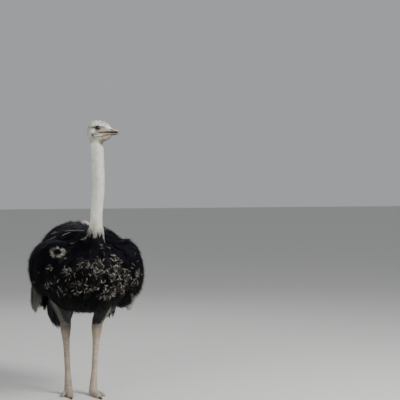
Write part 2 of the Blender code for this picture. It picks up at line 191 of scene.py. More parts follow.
def curve(at, places, values):
    """A smooth curve through the values, read at one or more places."""
    places, values = np.array(places, float), np.array(values, float)
    slopes = np.gradient(values, places)
    at = np.clip(at, places[0], places[-1])
    k = np.clip(np.searchsorted(places, at) - 1, 0, len(places) - 2)
    span = places[k + 1] - places[k]
    t = (at - places[k]) / span
    return (
        values[k] * (1 + 2 * t) * (1 - t) ** 2
        + values[k + 1] * t * t * (3 - 2 * t)
        + span * t * (1 - t) * (slopes[k] * (1 - t) - slopes[k + 1] * t)
    )


def drift(points, scale, seed):
    """Smooth noise, about -1 to 1, whose swells are scale metres long."""
    rng = np.random.default_rng(seed)
    total = np.zeros(points.shape[:-1])
    for _ in range(7):
        way = rng.normal(size=3)
        way *= rng.uniform(0.7, 1.5) / np.linalg.norm(way)
        total += np.sin(points @ way * (2 * np.pi / scale) + rng.uniform(0, 2 * np.pi))
    return total / 4


def in_head(points):
    """Points as (to the head's left, ahead of the eyes, above the eyes)."""
    return (np.asarray(points) - np.array(HEAD_PLACE)) @ HEAD_AXES.T


def from_head(points):
    """The other way round: places for points given in the head's own axes."""
    return np.asarray(points) @ HEAD_AXES + np.array(HEAD_PLACE)


def spot(across, along, centre, size):
    """A round-edged spot, 1 in its middle, over two coordinates."""
    return np.exp(-(((across - centre[0]) / size[0]) ** 2) - ((along - centre[1]) / size[1]) ** 2)


def band(offset, width):
    """A soft band, 1 where the offset is 0, that fades over width to both sides."""
    return np.exp(-((offset / width) ** 2))


def from_neck_foot(points, squash, above=0.0):
    """How far points are from a place above the neck's foot, their heights counting less by squash."""
    return np.linalg.norm((points - np.array(NECK_FOOT) - [0, 0, above]) * [1, 1, squash], axis=-1)


# ---------------------------------------------------------------- materials


def finish(name, roughness, bump=(), mottle=0.12, mottle_scale=60.0, **sockets):
    """A material whose colour is the mesh's own tone, mottled.

    bump holds (texture, scale, strength, distance). A Voronoi's grooves show only where the mesh is Scaly.
    """
    made = bpy.data.materials.new(name)
    made.use_nodes = True
    nodes, links = made.node_tree.nodes, made.node_tree.links
    shader = nodes["Principled BSDF"]
    shader.inputs["Roughness"].default_value = roughness
    for socket, value in sockets.items():
        shader.inputs[socket.replace("_", " ")].default_value = value
    place = nodes.new("ShaderNodeTexCoord").outputs["Object"]
    cloud = nodes.new("ShaderNodeTexNoise")
    cloud.inputs["Scale"].default_value = mottle_scale
    cloud.inputs["Detail"].default_value = 5
    links.new(place, cloud.inputs["Vector"])
    tone = nodes.new("ShaderNodeAttribute")
    tone.attribute_name = "Tone"
    level = nodes.new("ShaderNodeMapRange")
    ends = {"From Min": 0.3, "From Max": 0.7, "To Min": 1 - mottle, "To Max": 1 + mottle}
    for socket, value in ends.items():
        level.inputs[socket].default_value = value
    links.new(cloud.outputs["Fac"], level.inputs["Value"])
    shade = nodes.new("ShaderNodeVectorMath")
    shade.operation = "SCALE"
    links.new(tone.outputs["Color"], shade.inputs[0])
    links.new(level.outputs["Result"], shade.inputs["Scale"])
    links.new(shade.outputs["Vector"], shader.inputs["Base Color"])
    normal = None
    for kind, scale, strength, distance in bump:
        texture = nodes.new(f"ShaderNodeTex{kind}")
        texture.inputs["Scale"].default_value = scale
        if kind == "Noise":
            texture.inputs["Detail"].default_value = 6
            height = texture.outputs["Fac"]
        else:
            texture.feature = "DISTANCE_TO_EDGE"
            texture.inputs["Randomness"].default_value = 0.75
            groove = nodes.new("ShaderNodeMapRange")
            groove.inputs["From Max"].default_value = 0.16
            links.new(texture.outputs["Distance"], groove.inputs["Value"])
            scaly = nodes.new("ShaderNodeAttribute")
            scaly.attribute_name = "Scaly"
            part = nodes.new("ShaderNodeMath")
            part.operation = "MULTIPLY"
            links.new(groove.outputs["Result"], part.inputs[0])
            links.new(scaly.outputs["Fac"], part.inputs[1])
            height = part.outputs["Value"]
        links.new(place, texture.inputs["Vector"])
        bumped = nodes.new("ShaderNodeBump")
        bumped.inputs["Strength"].default_value = strength
        bumped.inputs["Distance"].default_value = distance
        links.new(height, bumped.inputs["Height"])
        if normal:
            links.new(normal, bumped.inputs["Normal"])
        normal = bumped.outputs["Normal"]
    if normal:
        links.new(normal, shader.inputs["Normal"])
    return made


# ---------------------------------------------------------------- meshes


def add_piece(name, shape, material=None, slot=None, smooth=True):
    """Makes shape, a bmesh or a mesh, an object of its own that rides on the bird."""
    if isinstance(shape, bmesh.types.BMesh):
        data = bpy.data.meshes.new(name)
        shape.to_mesh(data)
        shape.free()
    else:
        data = shape
    if smooth:
        data.shade_smooth()
    piece = bpy.data.objects.new(name, data)
    bpy.context.scene.collection.objects.link(piece)
    if material:
        data.materials.append(material)
    if slot:
        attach(piece, "root")
    return piece


def welded(name, swell=0.0):
    """A CAD node's shape as a bmesh, its loose triangles joined and its faces moved out by swell."""
    shape = bmesh.new()
    shape.from_mesh(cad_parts[name].data)
    bmesh.ops.remove_doubles(shape, verts=shape.verts, dist=0.0001)
    swelled(shape, swell)
    return shape


def swelled(shape, amounts):
    """Moves each vertex along its normal, all by one amount or each by its own."""
    shape.normal_update()
    amounts = np.broadcast_to(amounts, len(shape.verts))
    moves = [vert.normal * amount for vert, amount in zip(shape.verts, amounts)]
    for vert, move in zip(shape.verts, moves):
        vert.co += move


def hull(shape):
    """The closed convex shape round a bmesh, which it takes the place of."""
    outer = bmesh.new()
    for vert in shape.verts:
        outer.verts.new(vert.co)
    shape.free()
    bmesh.ops.convex_hull(outer, input=outer.verts)
    bmesh.ops.delete(outer, geom=[vert for vert in outer.verts if not vert.link_faces], context="VERTS")
    return outer


def ball(centre, half_sizes):
    """A rounded bmesh with these half sizes."""
    shape = bmesh.new()
    place = Matrix.Translation(centre) @ Matrix.Diagonal((*half_sizes, 1))
    bmesh.ops.create_uvsphere(shape, u_segments=32, v_segments=16, radius=1, matrix=place)
    return shape


def smoothed(shape, times, verts=None):
    """Evens out a bmesh, or only some of its vertices, so many times over."""
    verts = shape.verts if verts is None else verts
    axes = {f"use_axis_{axis}": True for axis in "xyz"}
    for _ in range(times):
        bmesh.ops.smooth_vert(shape, verts=verts, factor=0.5, **axes)


def settled(piece):
    """The piece's mesh with its modifiers applied; the piece itself is removed."""
    graph = bpy.context.evaluated_depsgraph_get()
    data = bpy.data.meshes.new_from_object(piece.evaluated_get(graph))
    data.materials.clear()
    bpy.data.objects.remove(piece)
    return data


def fused(shapes, voxel, smoothings):
    """One closed bmesh round all the shapes, its faces about a voxel wide."""
    whole = bmesh.new()
    for shape in shapes:
        data = bpy.data.meshes.new("shape")
        shape.to_mesh(data)
        shape.free()
        whole.from_mesh(data)
        bpy.data.meshes.remove(data)
    piece = add_piece("fusing", whole)
    remesh = piece.modifiers.new("Fuse", "REMESH")
    remesh.mode = "VOXEL"
    remesh.voxel_size = voxel
    made = bmesh.new()
    made.from_mesh(settled(piece))
    smoothed(made, smoothings)
    return made


def combined(base, others, operation):
    """base, an object, with the others joined to it or cut from it."""
    for other in others:
        step = base.modifiers.new("Combine", "BOOLEAN")
        step.operation = operation
        step.object = other
        step.solver = "MANIFOLD"
    data = settled(base)
    for other in others:
        bpy.data.objects.remove(other)
    return data


def loft(shape, rings):
    """Extrudes one closed ring of points after another; each ring is a list of Vectors."""
    bmesh.ops.create_circle(shape, cap_ends=True, segments=len(rings[0]), radius=1)
    shape.faces.ensure_lookup_table()
    face = shape.faces[-1]
    for number, ring in enumerate(rings):
        if number:
            face = bmesh.ops.extrude_discrete_faces(shape, faces=[face])["faces"][0]
        for corner, place in zip(face.verts, ring):
            corner.co = place
    bmesh.ops.holes_fill(shape, edges=[edge for edge in shape.edges if edge.is_boundary])
    bmesh.ops.recalc_face_normals(shape, faces=shape.faces)


def points_of(data):
    """The mesh's vertices' places."""
    values = np.empty(len(data.vertices) * 3, np.float32)
    data.vertices.foreach_get("co", values)
    return values.reshape(-1, 3).astype(float)


def normals_of(data):
    """The mesh's vertices' normals."""
    values = np.empty(len(data.vertices) * 3, np.float32)
    data.vertex_normals.foreach_get("vector", values)
    return values.reshape(-1, 3).astype(float)


def mark_scaly(data, share):
    """Stores how scaly the skin is at each vertex."""
    data.attributes.new("Scaly", "FLOAT", "POINT").data.foreach_set("value", share.astype(np.float32))


def paint(data, colours):
    """Stores a colour for each vertex."""
    layer = data.attributes.new("Tone", "FLOAT_COLOR", "POINT")
    full = np.ones((len(data.vertices), 4), np.float32)
    full[:, :3] = np.clip(colours, 0, 1)
    layer.data.foreach_set("color", full.ravel())


# ---------------------------------------------------------------- the skin


def gape_height(ahead):
    """How high the mouth's middle line lies, along the head."""
    return curve(
        ahead,
        [-0.02, 0.0, 0.03, 0.05, 0.10, 0.13, 0.16],
        [-0.0400, -0.0395, -0.0380, -0.0364, -0.0352, -0.0347, -0.0352],
    )


def gape_half(ahead):
    """Half the space between the jaws. They all but meet just behind the bill's tips."""
    return curve(
        ahead,
        [0.008, 0.03, 0.045, 0.060, 0.085, 0.103, 0.113, 0.138, 0.160],
        [0.0005, 0.0008, 0.0019, 0.0034, 0.0048, 0.0044, 0.0038, 0.0060, 0.0074],
    )


def over_fold(ahead, up):
    """How far above the fold between the lower jaw and the slack throat."""
    return up - np.interp(ahead, [-0.020, 0.04, 0.098], [-0.0735, -0.063, -0.048])


def make_mouth():
    """The space between the jaws, from the corner of the mouth to past the bill's tips."""
    rings = []
    for ahead in np.linspace(0.008, 0.175, 24):
        half, middle = gape_half(ahead) + 0.0004, gape_height(ahead)
        ring = []
        for turn in np.linspace(0, 2 * np.pi, 16, endpoint=False):
            side = 0.048 * np.sign(np.cos(turn)) * abs(np.cos(turn)) ** 0.3
            up = half * np.sign(np.sin(turn)) * abs(np.sin(turn)) ** 0.7
            ring.append(Vector(from_head([side, ahead, middle + up])))
        rings.append(ring)
    shape = bmesh.new()
    loft(shape, rings)
    return shape


def solid_tree(*names):
    """Where the surfaces of these solids are."""
    whole = bmesh.new()
    for name in names:
        whole.from_mesh(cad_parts[name].data)
    tree = BVHTree.FromBMesh(whole)
    whole.free()
    return tree


def plumage():
    """The solids whose outsides are the plumes' tips."""
    return [welded(name, 0.0005) for name in ("trunk", "wing_left", "wing_right")]


def make_skin():
    """The whole of the flesh as one closed mesh: torso, head and neck, and legs, joined."""
    torso = fused(plumage(), TORSO_FACE, 6)
    swelled(torso, -COAT_DEPTH)
    smoothed(torso, 6)
    parts = [
        hull(welded("head", -0.0006)),
        *(welded(name, -0.0012) for name in ("bill_upper", "bill_lower")),
        *(welded(name) for name in ("throat", "neck_upper", "neck_middle", "neck_lower")),
    ]
    head = fused(parts, HEAD_FACE, 3)
    low, high = HEAD_PLACE.z - 0.14, HEAD_PLACE.z - 0.06
    swelled(head, [-NECK_COAT * float(ramp(vert.co.z, high, low)) for vert in head.verts])
    # two balls fill the neck's foot: how far behind and above it, half their width and half their height
    roots = ((-0.005, -0.03, 0.074, 0.09), (0.07, -0.05, 0.085, 0.12))
    roots = [ball(NECK_FOOT + Vector((0, y, z)), (r, r, tall)) for y, z, r, tall in roots]
    neck_root = fused(roots, NECK_ROOT_FACE, 0)
    legs, knees = [], []
    for side in SIDES:
        low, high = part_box(f"thigh_{side}")
        knee = Vector(((low.x + high.x) / 2 + SIDES[side] * 0.015, low.y + 0.1, high.z))
        knees.append(knee)
        parts = [
            ball(knee + Vector((0, 0, 0.03)), (0.085, 0.10, 0.13)),
            *(welded(f"{name}_{side}", 0.0006) for name in ("thigh", "shank", "big_toe", "small_toe")),
        ]
        legs.append(fused(parts, LEG_FACE, 2))
    torso, *others = (add_piece("flesh", shape) for shape in (torso, neck_root, head, *legs))
    whole = bmesh.new()
    whole.from_mesh(combined(torso, others, "UNION"))
    for middle, reach in ((NECK_FOOT + Vector((0, 0.03, 0.0)), 0.15), *((knee, 0.13) for knee in knees)):
        smoothed(whole, 25, [vert for vert in whole.verts if (vert.co - middle).length < reach])
    whole = add_piece("flesh", whole)
    return combined(whole, [add_piece("mouth", make_mouth())], "DIFFERENCE")


def nostril_share(ahead, up):
    """1 in the nostrils, slots that slope down ahead."""
    return spot(ahead, up + 0.22 * (ahead - 0.097), (0.097, -0.0170), (0.0105, 0.0034))


def sculpt_head(points, normals):
    """Folds, lips, nostrils, brow, ear holes and eye sockets, pressed into the head's skin."""
    side, ahead, up = in_head(points).T
    outer = ramp(abs(side), 0.006, 0.014)
    moves = np.zeros(len(points))
    # brow, and the fold before and behind the eye
    moves += 0.0016 * spot(ahead, up, (0.004, 0.0140), (0.026, 0.0055))
    moves -= 0.0014 * spot(ahead, up - 0.10 * ahead, (0.034, -0.0055), (0.016, 0.0028))
    moves -= 0.0010 * spot(ahead, up, (-0.034, -0.0040), (0.014, 0.0030))
    # nostril, with its raised rim
    moves += 0.0012 * spot(ahead, up, (0.097, -0.0170), (0.015, 0.0080)) - 0.0050 * nostril_share(ahead, up)
    # lips above and below the mouth
    from_gape = up - gape_height(ahead)
    along_lips = ramp(ahead, -0.012, 0.012) * (1 - ramp(ahead, 0.095, 0.110))
    for lip in (0.0085, -0.0085):
        moves += 0.0011 * band(from_gape - lip, 0.0038) * along_lips
    behind_lips = ramp(ahead, -0.016, 0.0)
    moves -= 0.0012 * band(from_gape, 0.0022) * behind_lips * (1 - ramp(ahead, 0.02, 0.04))
    # the fold between the lower jaw and the slack throat
    fold = over_fold(ahead, up)
    along_fold = ramp(ahead, -0.026, -0.006) * (1 - ramp(ahead, 0.085, 0.104))
    moves += along_fold * (0.0012 * band(fold - 0.006, 0.005) - 0.0026 * band(fold, 0.0028))
    # fine slack folds below it
    slack = along_fold * ramp(-fold, 0.004, 0.012)
    moves += 0.0006 * slack * np.sin(fold * 900 + 3 * np.sin(ahead * 60))
    # ear hole and its ring
    reach = np.hypot((ahead - EAR[0]) / 0.0055, (up - EAR[1]) / 0.0072)
    moves += 0.0014 * band(reach - 1.25, 0.4) - 0.0070 * np.exp(-((reach / 0.75) ** 4))
    moved = points + normals * (moves * outer)[:, None]
    # eye sockets: the skin goes in behind the front of the eyeball
    local = in_head(moved)
    for sign in (1, -1):
        centre = np.array([sign * EYE_SIDE, 0, EYE_UP])
        offset = local - centre
        oval = np.hypot(offset[:, 1] / 0.0180, offset[:, 2] / 0.0150)
        near = (sign * local[:, 0] > 0.012) * (1 - ramp(oval, 0.88, 1.08))
        sunk = centre + unit(offset) * (EYE_RADIUS - 0.004)
        local = mixed(local, sunk, near)
    return from_head(local)


def sculpt_hock(points, normals):
    """Creases across the thick hock joint, with swollen folds between them."""
    hock = HOCKS[(points[:, 0] > 0).astype(int)]
    turn = np.arctan2(points[:, 0] - hock[:, 0], hock[:, 1] - points[:, 1])
    rise = points[:, 2] - HOCK_HEIGHT + 0.005 * np.cos(turn * 2) + 0.0015 * drift(points, 0.03, 51)
    front = ramp(np.cos(turn), -0.4, 0.3)
    moves = np.zeros(len(points))
    for height, deep, wide in (
        (0.030, 0.0028, 0.0034),
        (0.012, 0.0034, 0.0036),
        (-0.006, 0.0026, 0.0030),
        (-0.026, 0.0018, 0.0028),
    ):
        moves -= deep * band(rise - height, wide)
        moves += 0.5 * deep * band(rise - height - 0.009, 0.005)
    moves += 0.0007 * np.sin(points[:, 2] * 1400 + 3 * np.sin(turn * 3)) * band(rise, 0.05)
    return points + normals * (moves * front)[:, None]


def thigh_share(points):
    """1 on the bare thighs, below the plumes' hem."""
    share = np.zeros(len(points))
    x, y, height = points.T
    close = (abs(x) > 0.04) & (abs(x) < 0.31) & (y > -0.33) & (y < 0.14)
    close &= (height > HOCK_HEIGHT) & (height < 0.80)
    found = [THIGH_TREE.find_nearest(Vector(point))[3] for point in points[close]]
    share[close] = 1 - ramp(found, 0.008, 0.014)
    return share * (1 - ramp(height, 0.735, 0.755))


def plumage_share(points):
    """1 where plumes cover the skin, 0 on neck, head and legs."""
    x, y, height = points.T
    body = (height > 0.60) & (height < 1.42)
    # the down ends in a ragged edge round the neck's foot
    edge = NECK_FOOT.z + 0.070 + 0.010 * drift(points, 0.04, 2)
    for across, wide, tall in ((-0.040, 0.012, 0.016), (0.010, 0.008, 0.008)):
        edge = edge + tall * band(x - NECK_FOOT.x - across, wide) * (y < NECK_FOOT.y)
    from_neck = np.hypot(x - NECK_FOOT.x, y - NECK_FOOT.y)
    on_neck = ramp(height, edge, edge + 0.010) * (1 - ramp(from_neck, 0.085, 0.11))
    return body * (1 - on_neck) * (1 - thigh_share(points))


def thigh_tone(points):
    """Near-black skin, as painted shade under the belly, with a pale stripe down each thigh that widens to the
    hock, a painted highlight where the thigh's front catches the lamp.
    """
    height = points[:, 2]
    # the painted highlight is laid out across the view
    across = (points[:, :2] - np.array(TRUNK_MIDDLE)[:2]) @ ACROSS_VIEW[:2]
    across += 0.005 * drift(points, 0.05, 61) + 0.002 * drift(points, 0.012, 62)
    levels = HOCK_HEIGHT + np.array([0.020, 0.08, 0.14, 0.185, 0.23])
    left = points[:, 0] > 0
    middle, half = (
        np.where(left, np.interp(height, levels, on_left), np.interp(height, levels, on_right))
        for on_left, on_right in (
            ([0.150, 0.176, 0.198, 0.212, 0.224], [-0.146, -0.169, -0.184, -0.208, -0.242]),
            ([0.024, 0.013, 0.009, 0.008, 0.008], [0.030, 0.019, 0.015, 0.014, 0.011]),
        )
    )
    stripe = 1 - ramp(abs(across - middle) / half, 0.45, 1.35)
    # painted light and shade: the stripe 1.35 times as bright on the left thigh, which faces the lamp, and
    # 0.52 times on the right one
    pale = THIGH_LIT_STRIPE * np.where(left, 1.35, 0.52)[:, None]
    colour = mixed(THIGH_SHADE, pale, stripe * (0.85 + 0.3 * drift(points, 0.018, 64)))
    # beyond the stripe on the left thigh the same near-black stands for the plumes that hang there
    outer = left * ramp(across - middle, 0.6 * half, 1.2 * half) * ramp(height, 0.60, 0.63)
    return mixed(colour, THIGH_SHADE, outer)


def skin_tone(points):
    """The skin's colour by place, with its painted light and shade, which the coat shares."""
    side, ahead, up = in_head(points).T
    height = points[:, 2]
    left = points[:, 0] > 0
    colour = mixed(LEG, SOLE, (1 - ramp(height, 0.0, 0.05)) * 0.5)
    # painted light and shade: the left side, which faces the lamp, 1.12 times as bright, and the right side
    # 0.92 times
    colour = colour * np.where(left, 1.12, 0.92)[:, None]
    # the hock's grey folds, and the thigh above them
    rise = height - HOCK_HEIGHT + 0.008 * drift(points, 0.04, 63) + 0.006 * drift(points, 0.014, 65)
    colour = mixed(colour, HOCK, (0.76 - 0.34 * left) * band(rise - 0.006, 0.044) * (height < 0.7))
    knob = band(rise - 0.006, 0.011) * (0.35 + 0.65 * ramp(points[:, 0], 0.115, 0.145))
    colour = mixed(colour, HOCK_PALE, left * knob)
    colour = mixed(colour, thigh_tone(points), ramp(rise, 0.008, np.where(left, 0.032, 0.050)))
    colour = mixed(colour, colour * 0.8, np.clip(drift(points * [1, 1, 0.5], 0.03, 3), 0, 1) * 0.5)
    plumed = plumage_share(points)
    colour = mixed(colour, UNDERCOAT, plumed)
    # the neck, paler on its right side as painted light where the lamp leaves it shaded, with a yellowish
    # patch low in front
    high = height > 1.2
    across = (points - np.array(HEAD_PLACE)) @ ACROSS_VIEW
    painted_light = 1 + 0.30 * (1 - ramp(across, -0.040, -0.005))
    colour = mixed(colour, NECK_DOWN * painted_light[:, None], high * (1 - plumed))
    patch = high * 0.6 * spot(across, height, (-0.022, NECK_FOOT.z + 0.117), (0.017, 0.026))
    colour = mixed(colour, NECK_PATCH, patch)
    # the head
    under = HEAD_PLACE.z - 0.085 - 0.024 * ramp(ahead, -0.01, 0.03)
    on_head = ramp(height, under - 0.035, under) * (ahead > -0.09)
    front = on_head * ramp(ahead, 0.0, 0.05)
    behind = on_head * (1 - ramp(ahead, -0.030, -0.012))
    brow = 0.010 - 0.022 * ramp(ahead, 0.040, 0.075)
    speckle = np.clip(0.35 + drift(points, 0.011, 67), 0, 1)
    fold = over_fold(ahead, up)
    gape = up - gape_height(ahead)
    gape_line = ramp(ahead, -0.016, 0.004) * (1 - ramp(ahead, 0.02, 0.04))
    in_mouth = on_head * ramp(ahead, 0.004, 0.02) * (1 - ramp(abs(gape), 0.0046, 0.0062))
    for tone, share in (
        (CHEEK, on_head),
        # painted light: the back of the head as pale as the crown, where the lamp leaves it shaded
        (CROWN, behind * band(up + 0.027, 0.016)),
        (CROWN * 0.8, behind * ramp(-ahead - 0.3 * up, 0.052, 0.064)),
        (CROWN, on_head * ramp(up, brow - 0.005, brow + 0.005)),
        (CROWN * 0.68, on_head * ramp(up, brow, brow + 0.008) * speckle * 0.75),
        # before and below the eye
        (FACE, front * (1 - ramp(up, brow - 0.008, brow + 0.003))),
        (FACE, on_head * ramp(ahead, -0.012, 0.012) * band(up + 0.021, 0.013) * 0.8),
        # the throat, with the lower jaw's fold over it, and painted shade under the jowl and below the fold's
        # front end
        (THROAT, front * (1 - ramp(up, -0.066, -0.054)) * 0.9),
        (JOWL_SHADE, on_head * ramp(ahead, -0.005, 0.025) * (1 - ramp(up + 0.25 * ahead, -0.096, -0.066)) * 0.9),
        (JOWL_SHADE, front * 0.5 * ramp(ahead, 0.062, 0.080) * ramp(-fold, 0.0, 0.006)),
        # a painted highlight along the lower jaw, above the fold
        (CROWN * 0.9, on_head * 0.6 * spot(ahead, fold, (0.016, 0.0125), (0.026, 0.0045))),
        # the fold's reddish line, with painted shade in its crease and carried back behind the jaw, and the
        # same in the line at the mouth's corner
        (FOLD_TINT_AND_SHADE, on_head * ramp(ahead, -0.055, 0.0) * band(fold, 0.0044)),
        (FOLD_TINT_AND_SHADE, on_head * 0.7 * gape_line * band(gape, 0.003)),
        # darker before, behind and round the eye, and at the ear
        (LORE, on_head * 0.85 * spot(ahead, up, (0.028, 0.0005), (0.019, 0.0068))),
        (LORE, on_head * spot(ahead, up, (-0.028, -0.0016), (0.018, 0.0072))),
        (LORE, on_head * 0.5 * band(np.hypot(ahead, up - EYE_UP) - 0.021, 0.005)),
        (LORE, on_head * 0.6 * spot(ahead, up, EAR, (0.010, 0.013))),
        # painted shade in the nostrils, along the edge of the upper lip and in the mouth
        (MOUTH_SHADE * 0.5, on_head * nostril_share(ahead, up)),
        (MOUTH_SHADE * 1.6, on_head * 0.75 * ramp(ahead, 0.020, 0.060) * band(gape - 0.0045, 0.0040)),
        (MOUTH_SHADE, in_mouth * (1 - 0.35 * ramp(abs(side), 0.02, 0.03))),
    ):
        colour = mixed(colour, tone, share)
    return colour


def dress_skin():
    """The skin, with finer faces on the face and hocks, pressed into shape and coloured."""
    data = make_skin()
    shape = bmesh.new()
    shape.from_mesh(data)
    near = []
    for face in shape.faces:
        middle = face.calc_center_median()
        side, ahead, up = in_head(middle)
        on_face = abs(up + 0.02) < 0.045 and -0.045 < ahead < 0.115 and abs(side) < 0.06
        if on_face or HOCK_HEIGHT - 0.07 < middle.z < HOCK_HEIGHT + 0.06:
            near.append(face)
    edges = list({edge for face in near for edge in face.edges})
    bmesh.ops.subdivide_edges(shape, edges=edges, cuts=1, use_grid_fill=True)
    bmesh.ops.triangulate(shape, faces=[face for face in shape.faces if len(face.verts) > 4])
    shape.to_mesh(data)
    shape.free()
    points, normals = points_of(data), normals_of(data)
    moved = points.copy()
    on_head = points[:, 2] > HEAD_PLACE.z - 0.13
    moved[on_head] = sculpt_head(points[on_head], normals[on_head])
    on_leg = (points[:, 2] > HOCK_HEIGHT - 0.08) & (points[:, 2] < HOCK_HEIGHT + 0.08)
    moved[on_leg] = sculpt_hock(points[on_leg], normals[on_leg])
    data.vertices.foreach_set("co", moved.astype(np.float32).ravel())
    data.update()
    paint(data, skin_tone(points))
    height = points[:, 2]
    on_face = 0.16 * ramp(height, HEAD_PLACE.z - 0.15, HEAD_PLACE.z - 0.1)
    mark_scaly(data, np.where(height > 1.1, on_face, 1 - ramp(height, 0.62, 0.70)))
    skin = add_piece("skin", data, HIDE, "leg_skin")
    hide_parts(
        "trunk", "wing_left", "wing_right", "neck_lower", "neck_middle", "neck_upper", "head", "throat",
        *(f"{name}_{side}" for side in SIDES for name in ("ear", "thigh", "shank", "big_toe", "small_toe")),
    )
    return skin


HIDE = finish(
    "skin", 0.62,
    bump=[("Voronoi", 190.0, 0.5, 0.0014), ("Noise", 420.0, 0.3, 0.0006)],
    mottle=0.14, mottle_scale=45.0, Subsurface_Weight=0.08, Subsurface_Scale=0.004, Specular_IOR_Level=0.3,
)
THIGH_TREE = solid_tree("thigh_left", "thigh_right")
skin = dress_skin()
SKIN_TREE = BVHTree.FromObject(skin, bpy.context.evaluated_depsgraph_get())

# ---------------------------------------------------------------- eyes, lids, bill and claws


def sheet(across, along, place):
    """A grid of faces. place takes (u, v), from 0 to 1, and gives the points."""
    shape = bmesh.new()
    bmesh.ops.create_grid(shape, x_segments=across, y_segments=along, size=1)
    flat = np.array([vert.co[:2] for vert in shape.verts]) / 2 + 0.5
    for vert, point in zip(shape.verts, place(flat[:, 0], flat[:, 1])):
        vert.co = point
    return shape


def make_eye(side):
    """The whole eyeball, as deep as it is in life, its cornea standing out a little."""
    sign = SIDES[side]
    shape = bmesh.new()
    bmesh.ops.create_uvsphere(shape, u_segments=64, v_segments=48, radius=1)
    # the sphere's pole is turned to face out of the head, a few degrees ahead
    way = np.array([sign * math.cos(0.12), math.sin(0.12), 0.0])
    spare = unit(np.cross(way, [0, 0, 1.0]))
    axes = np.array([spare, np.cross(spare, way) * -1, way])
    ball_points = np.array([vert.co for vert in shape.verts])
    off_axis = np.arccos(np.clip(ball_points[:, 2], -1, 1))
    radius = EYE_RADIUS + 0.0012 * (1 - ramp(off_axis, 0.35, 0.62))
    local = (ball_points * radius[:, None]) @ axes + [sign * EYE_SIDE, 0, EYE_UP]
    for vert, point in zip(shape.verts, from_head(local)):
        vert.co = point
    bmesh.ops.recalc_face_normals(shape, faces=shape.faces)
    iris = mixed(IRIS, IRIS_RIM, ramp(off_axis, 0.34, 0.56))
    turn = np.arctan2(ball_points[:, 1], ball_points[:, 0])
    iris = iris * (1 + 0.18 * np.sin(turn * 31 + 2 * np.sin(turn * 7)))[:, None]
    tone = mixed(PUPIL, iris, ramp(off_axis, 0.315, 0.335))
    tone = mixed(tone, EYE_EDGE, ramp(off_axis, 0.52, 0.60))
    eye = add_piece(f"eyeball_{side}", shape, EYE, "eye")
    paint(eye.data, tone)
    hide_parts(f"eye_{side}")


def lid_opening(turn):
    """How far the lids' edge is from the eye's middle, around the eye."""
    tall = np.where(np.sin(turn) > 0, 0.0114, 0.0100)
    return (np.abs(np.cos(turn) / 0.0150) ** 1.85 + np.abs(np.sin(turn) / tall) ** 1.85) ** (-1 / 1.85)


def skin_side(ahead, up, sign):
    """How far out the head's skin is at one place, and 0 where there is none."""
    start = from_head([sign * 0.09, ahead, up])
    hit = SKIN_TREE.ray_cast(Vector(start), HEAD_SIDE * -sign, 0.085)[0]
    return abs(in_head(hit)[0]) if hit else 0.0


def lid_place(side, turns, outs):
    """Points on the lids: outs is 0 at the edge against the eyeball and 1 where they sink in the skin."""
    sign = SIDES[side]
    inner = lid_opening(turns)
    outer = inner + np.where(np.sin(turns) > 0, 0.0105, 0.0090) - 0.001 * np.cos(turns) ** 2
    reach = inner + (outer - inner) * np.clip(outs, 0, 1)
    at_edge = EYE_SIDE + np.sqrt(EYE_RADIUS**2 - inner**2) + 0.0011
    at_skin = np.array(
        [skin_side(r * math.cos(t), EYE_UP + r * math.sin(t), sign) for r, t in zip(outer + 0.001, turns)]
    ) - 0.0008
    out = at_edge + (at_skin - at_edge) * ramp(outs, 0.0, 1.0)
    upper = ramp(np.sin(turns), -0.1, 0.3)
    out += 0.0016 * np.sin(np.pi * np.clip(outs, 0, 1)) ** 0.8
    out -= (0.0018 * upper + 0.0010) * band(outs - 0.46, 0.075)
    out += (0.0010 * upper + 0.0004) * band(outs - 0.64, 0.10)
    # the lid's edge turns in to the eyeball
    turned = ramp(-outs, 0.0, 0.12)
    out = out * (1 - turned) + (at_edge - 0.0016) * turned
    reach -= 0.0006 * turned
    return from_head(np.stack([sign * out, reach * np.cos(turns), EYE_UP + reach * np.sin(turns)], 1))


def make_lids(side):
    """Both lids of one eye, as one sheet round its opening."""

    def place(u, v):
        return lid_place(side, u * 2 * np.pi, v * 1.12 - 0.12)

    shape = sheet(96, 22, place)
    bmesh.ops.remove_doubles(shape, verts=shape.verts, dist=0.00002)
    bmesh.ops.recalc_face_normals(shape, faces=shape.faces)
    face = max(shape.faces, key=lambda f: (f.calc_center_median() - HEAD_PLACE).dot(HEAD_SIDE * SIDES[side]))
    if face.normal.dot(HEAD_SIDE * SIDES[side]) < 0:
        bmesh.ops.reverse_faces(shape, faces=shape.faces)
    lids = add_piece(f"eyelids_{side}", shape, SOFT_SKIN, "face_skin")
    points = points_of(lids.data)
    _, ahead, up = in_head(points).T
    up = up - EYE_UP
    reach = np.hypot(ahead, up) / lid_opening(np.arctan2(up, ahead))
    tone = mixed(LID_EDGE, skin_tone(points), ramp(reach, 1.15, 1.75))
    paint(lids.data, tone)


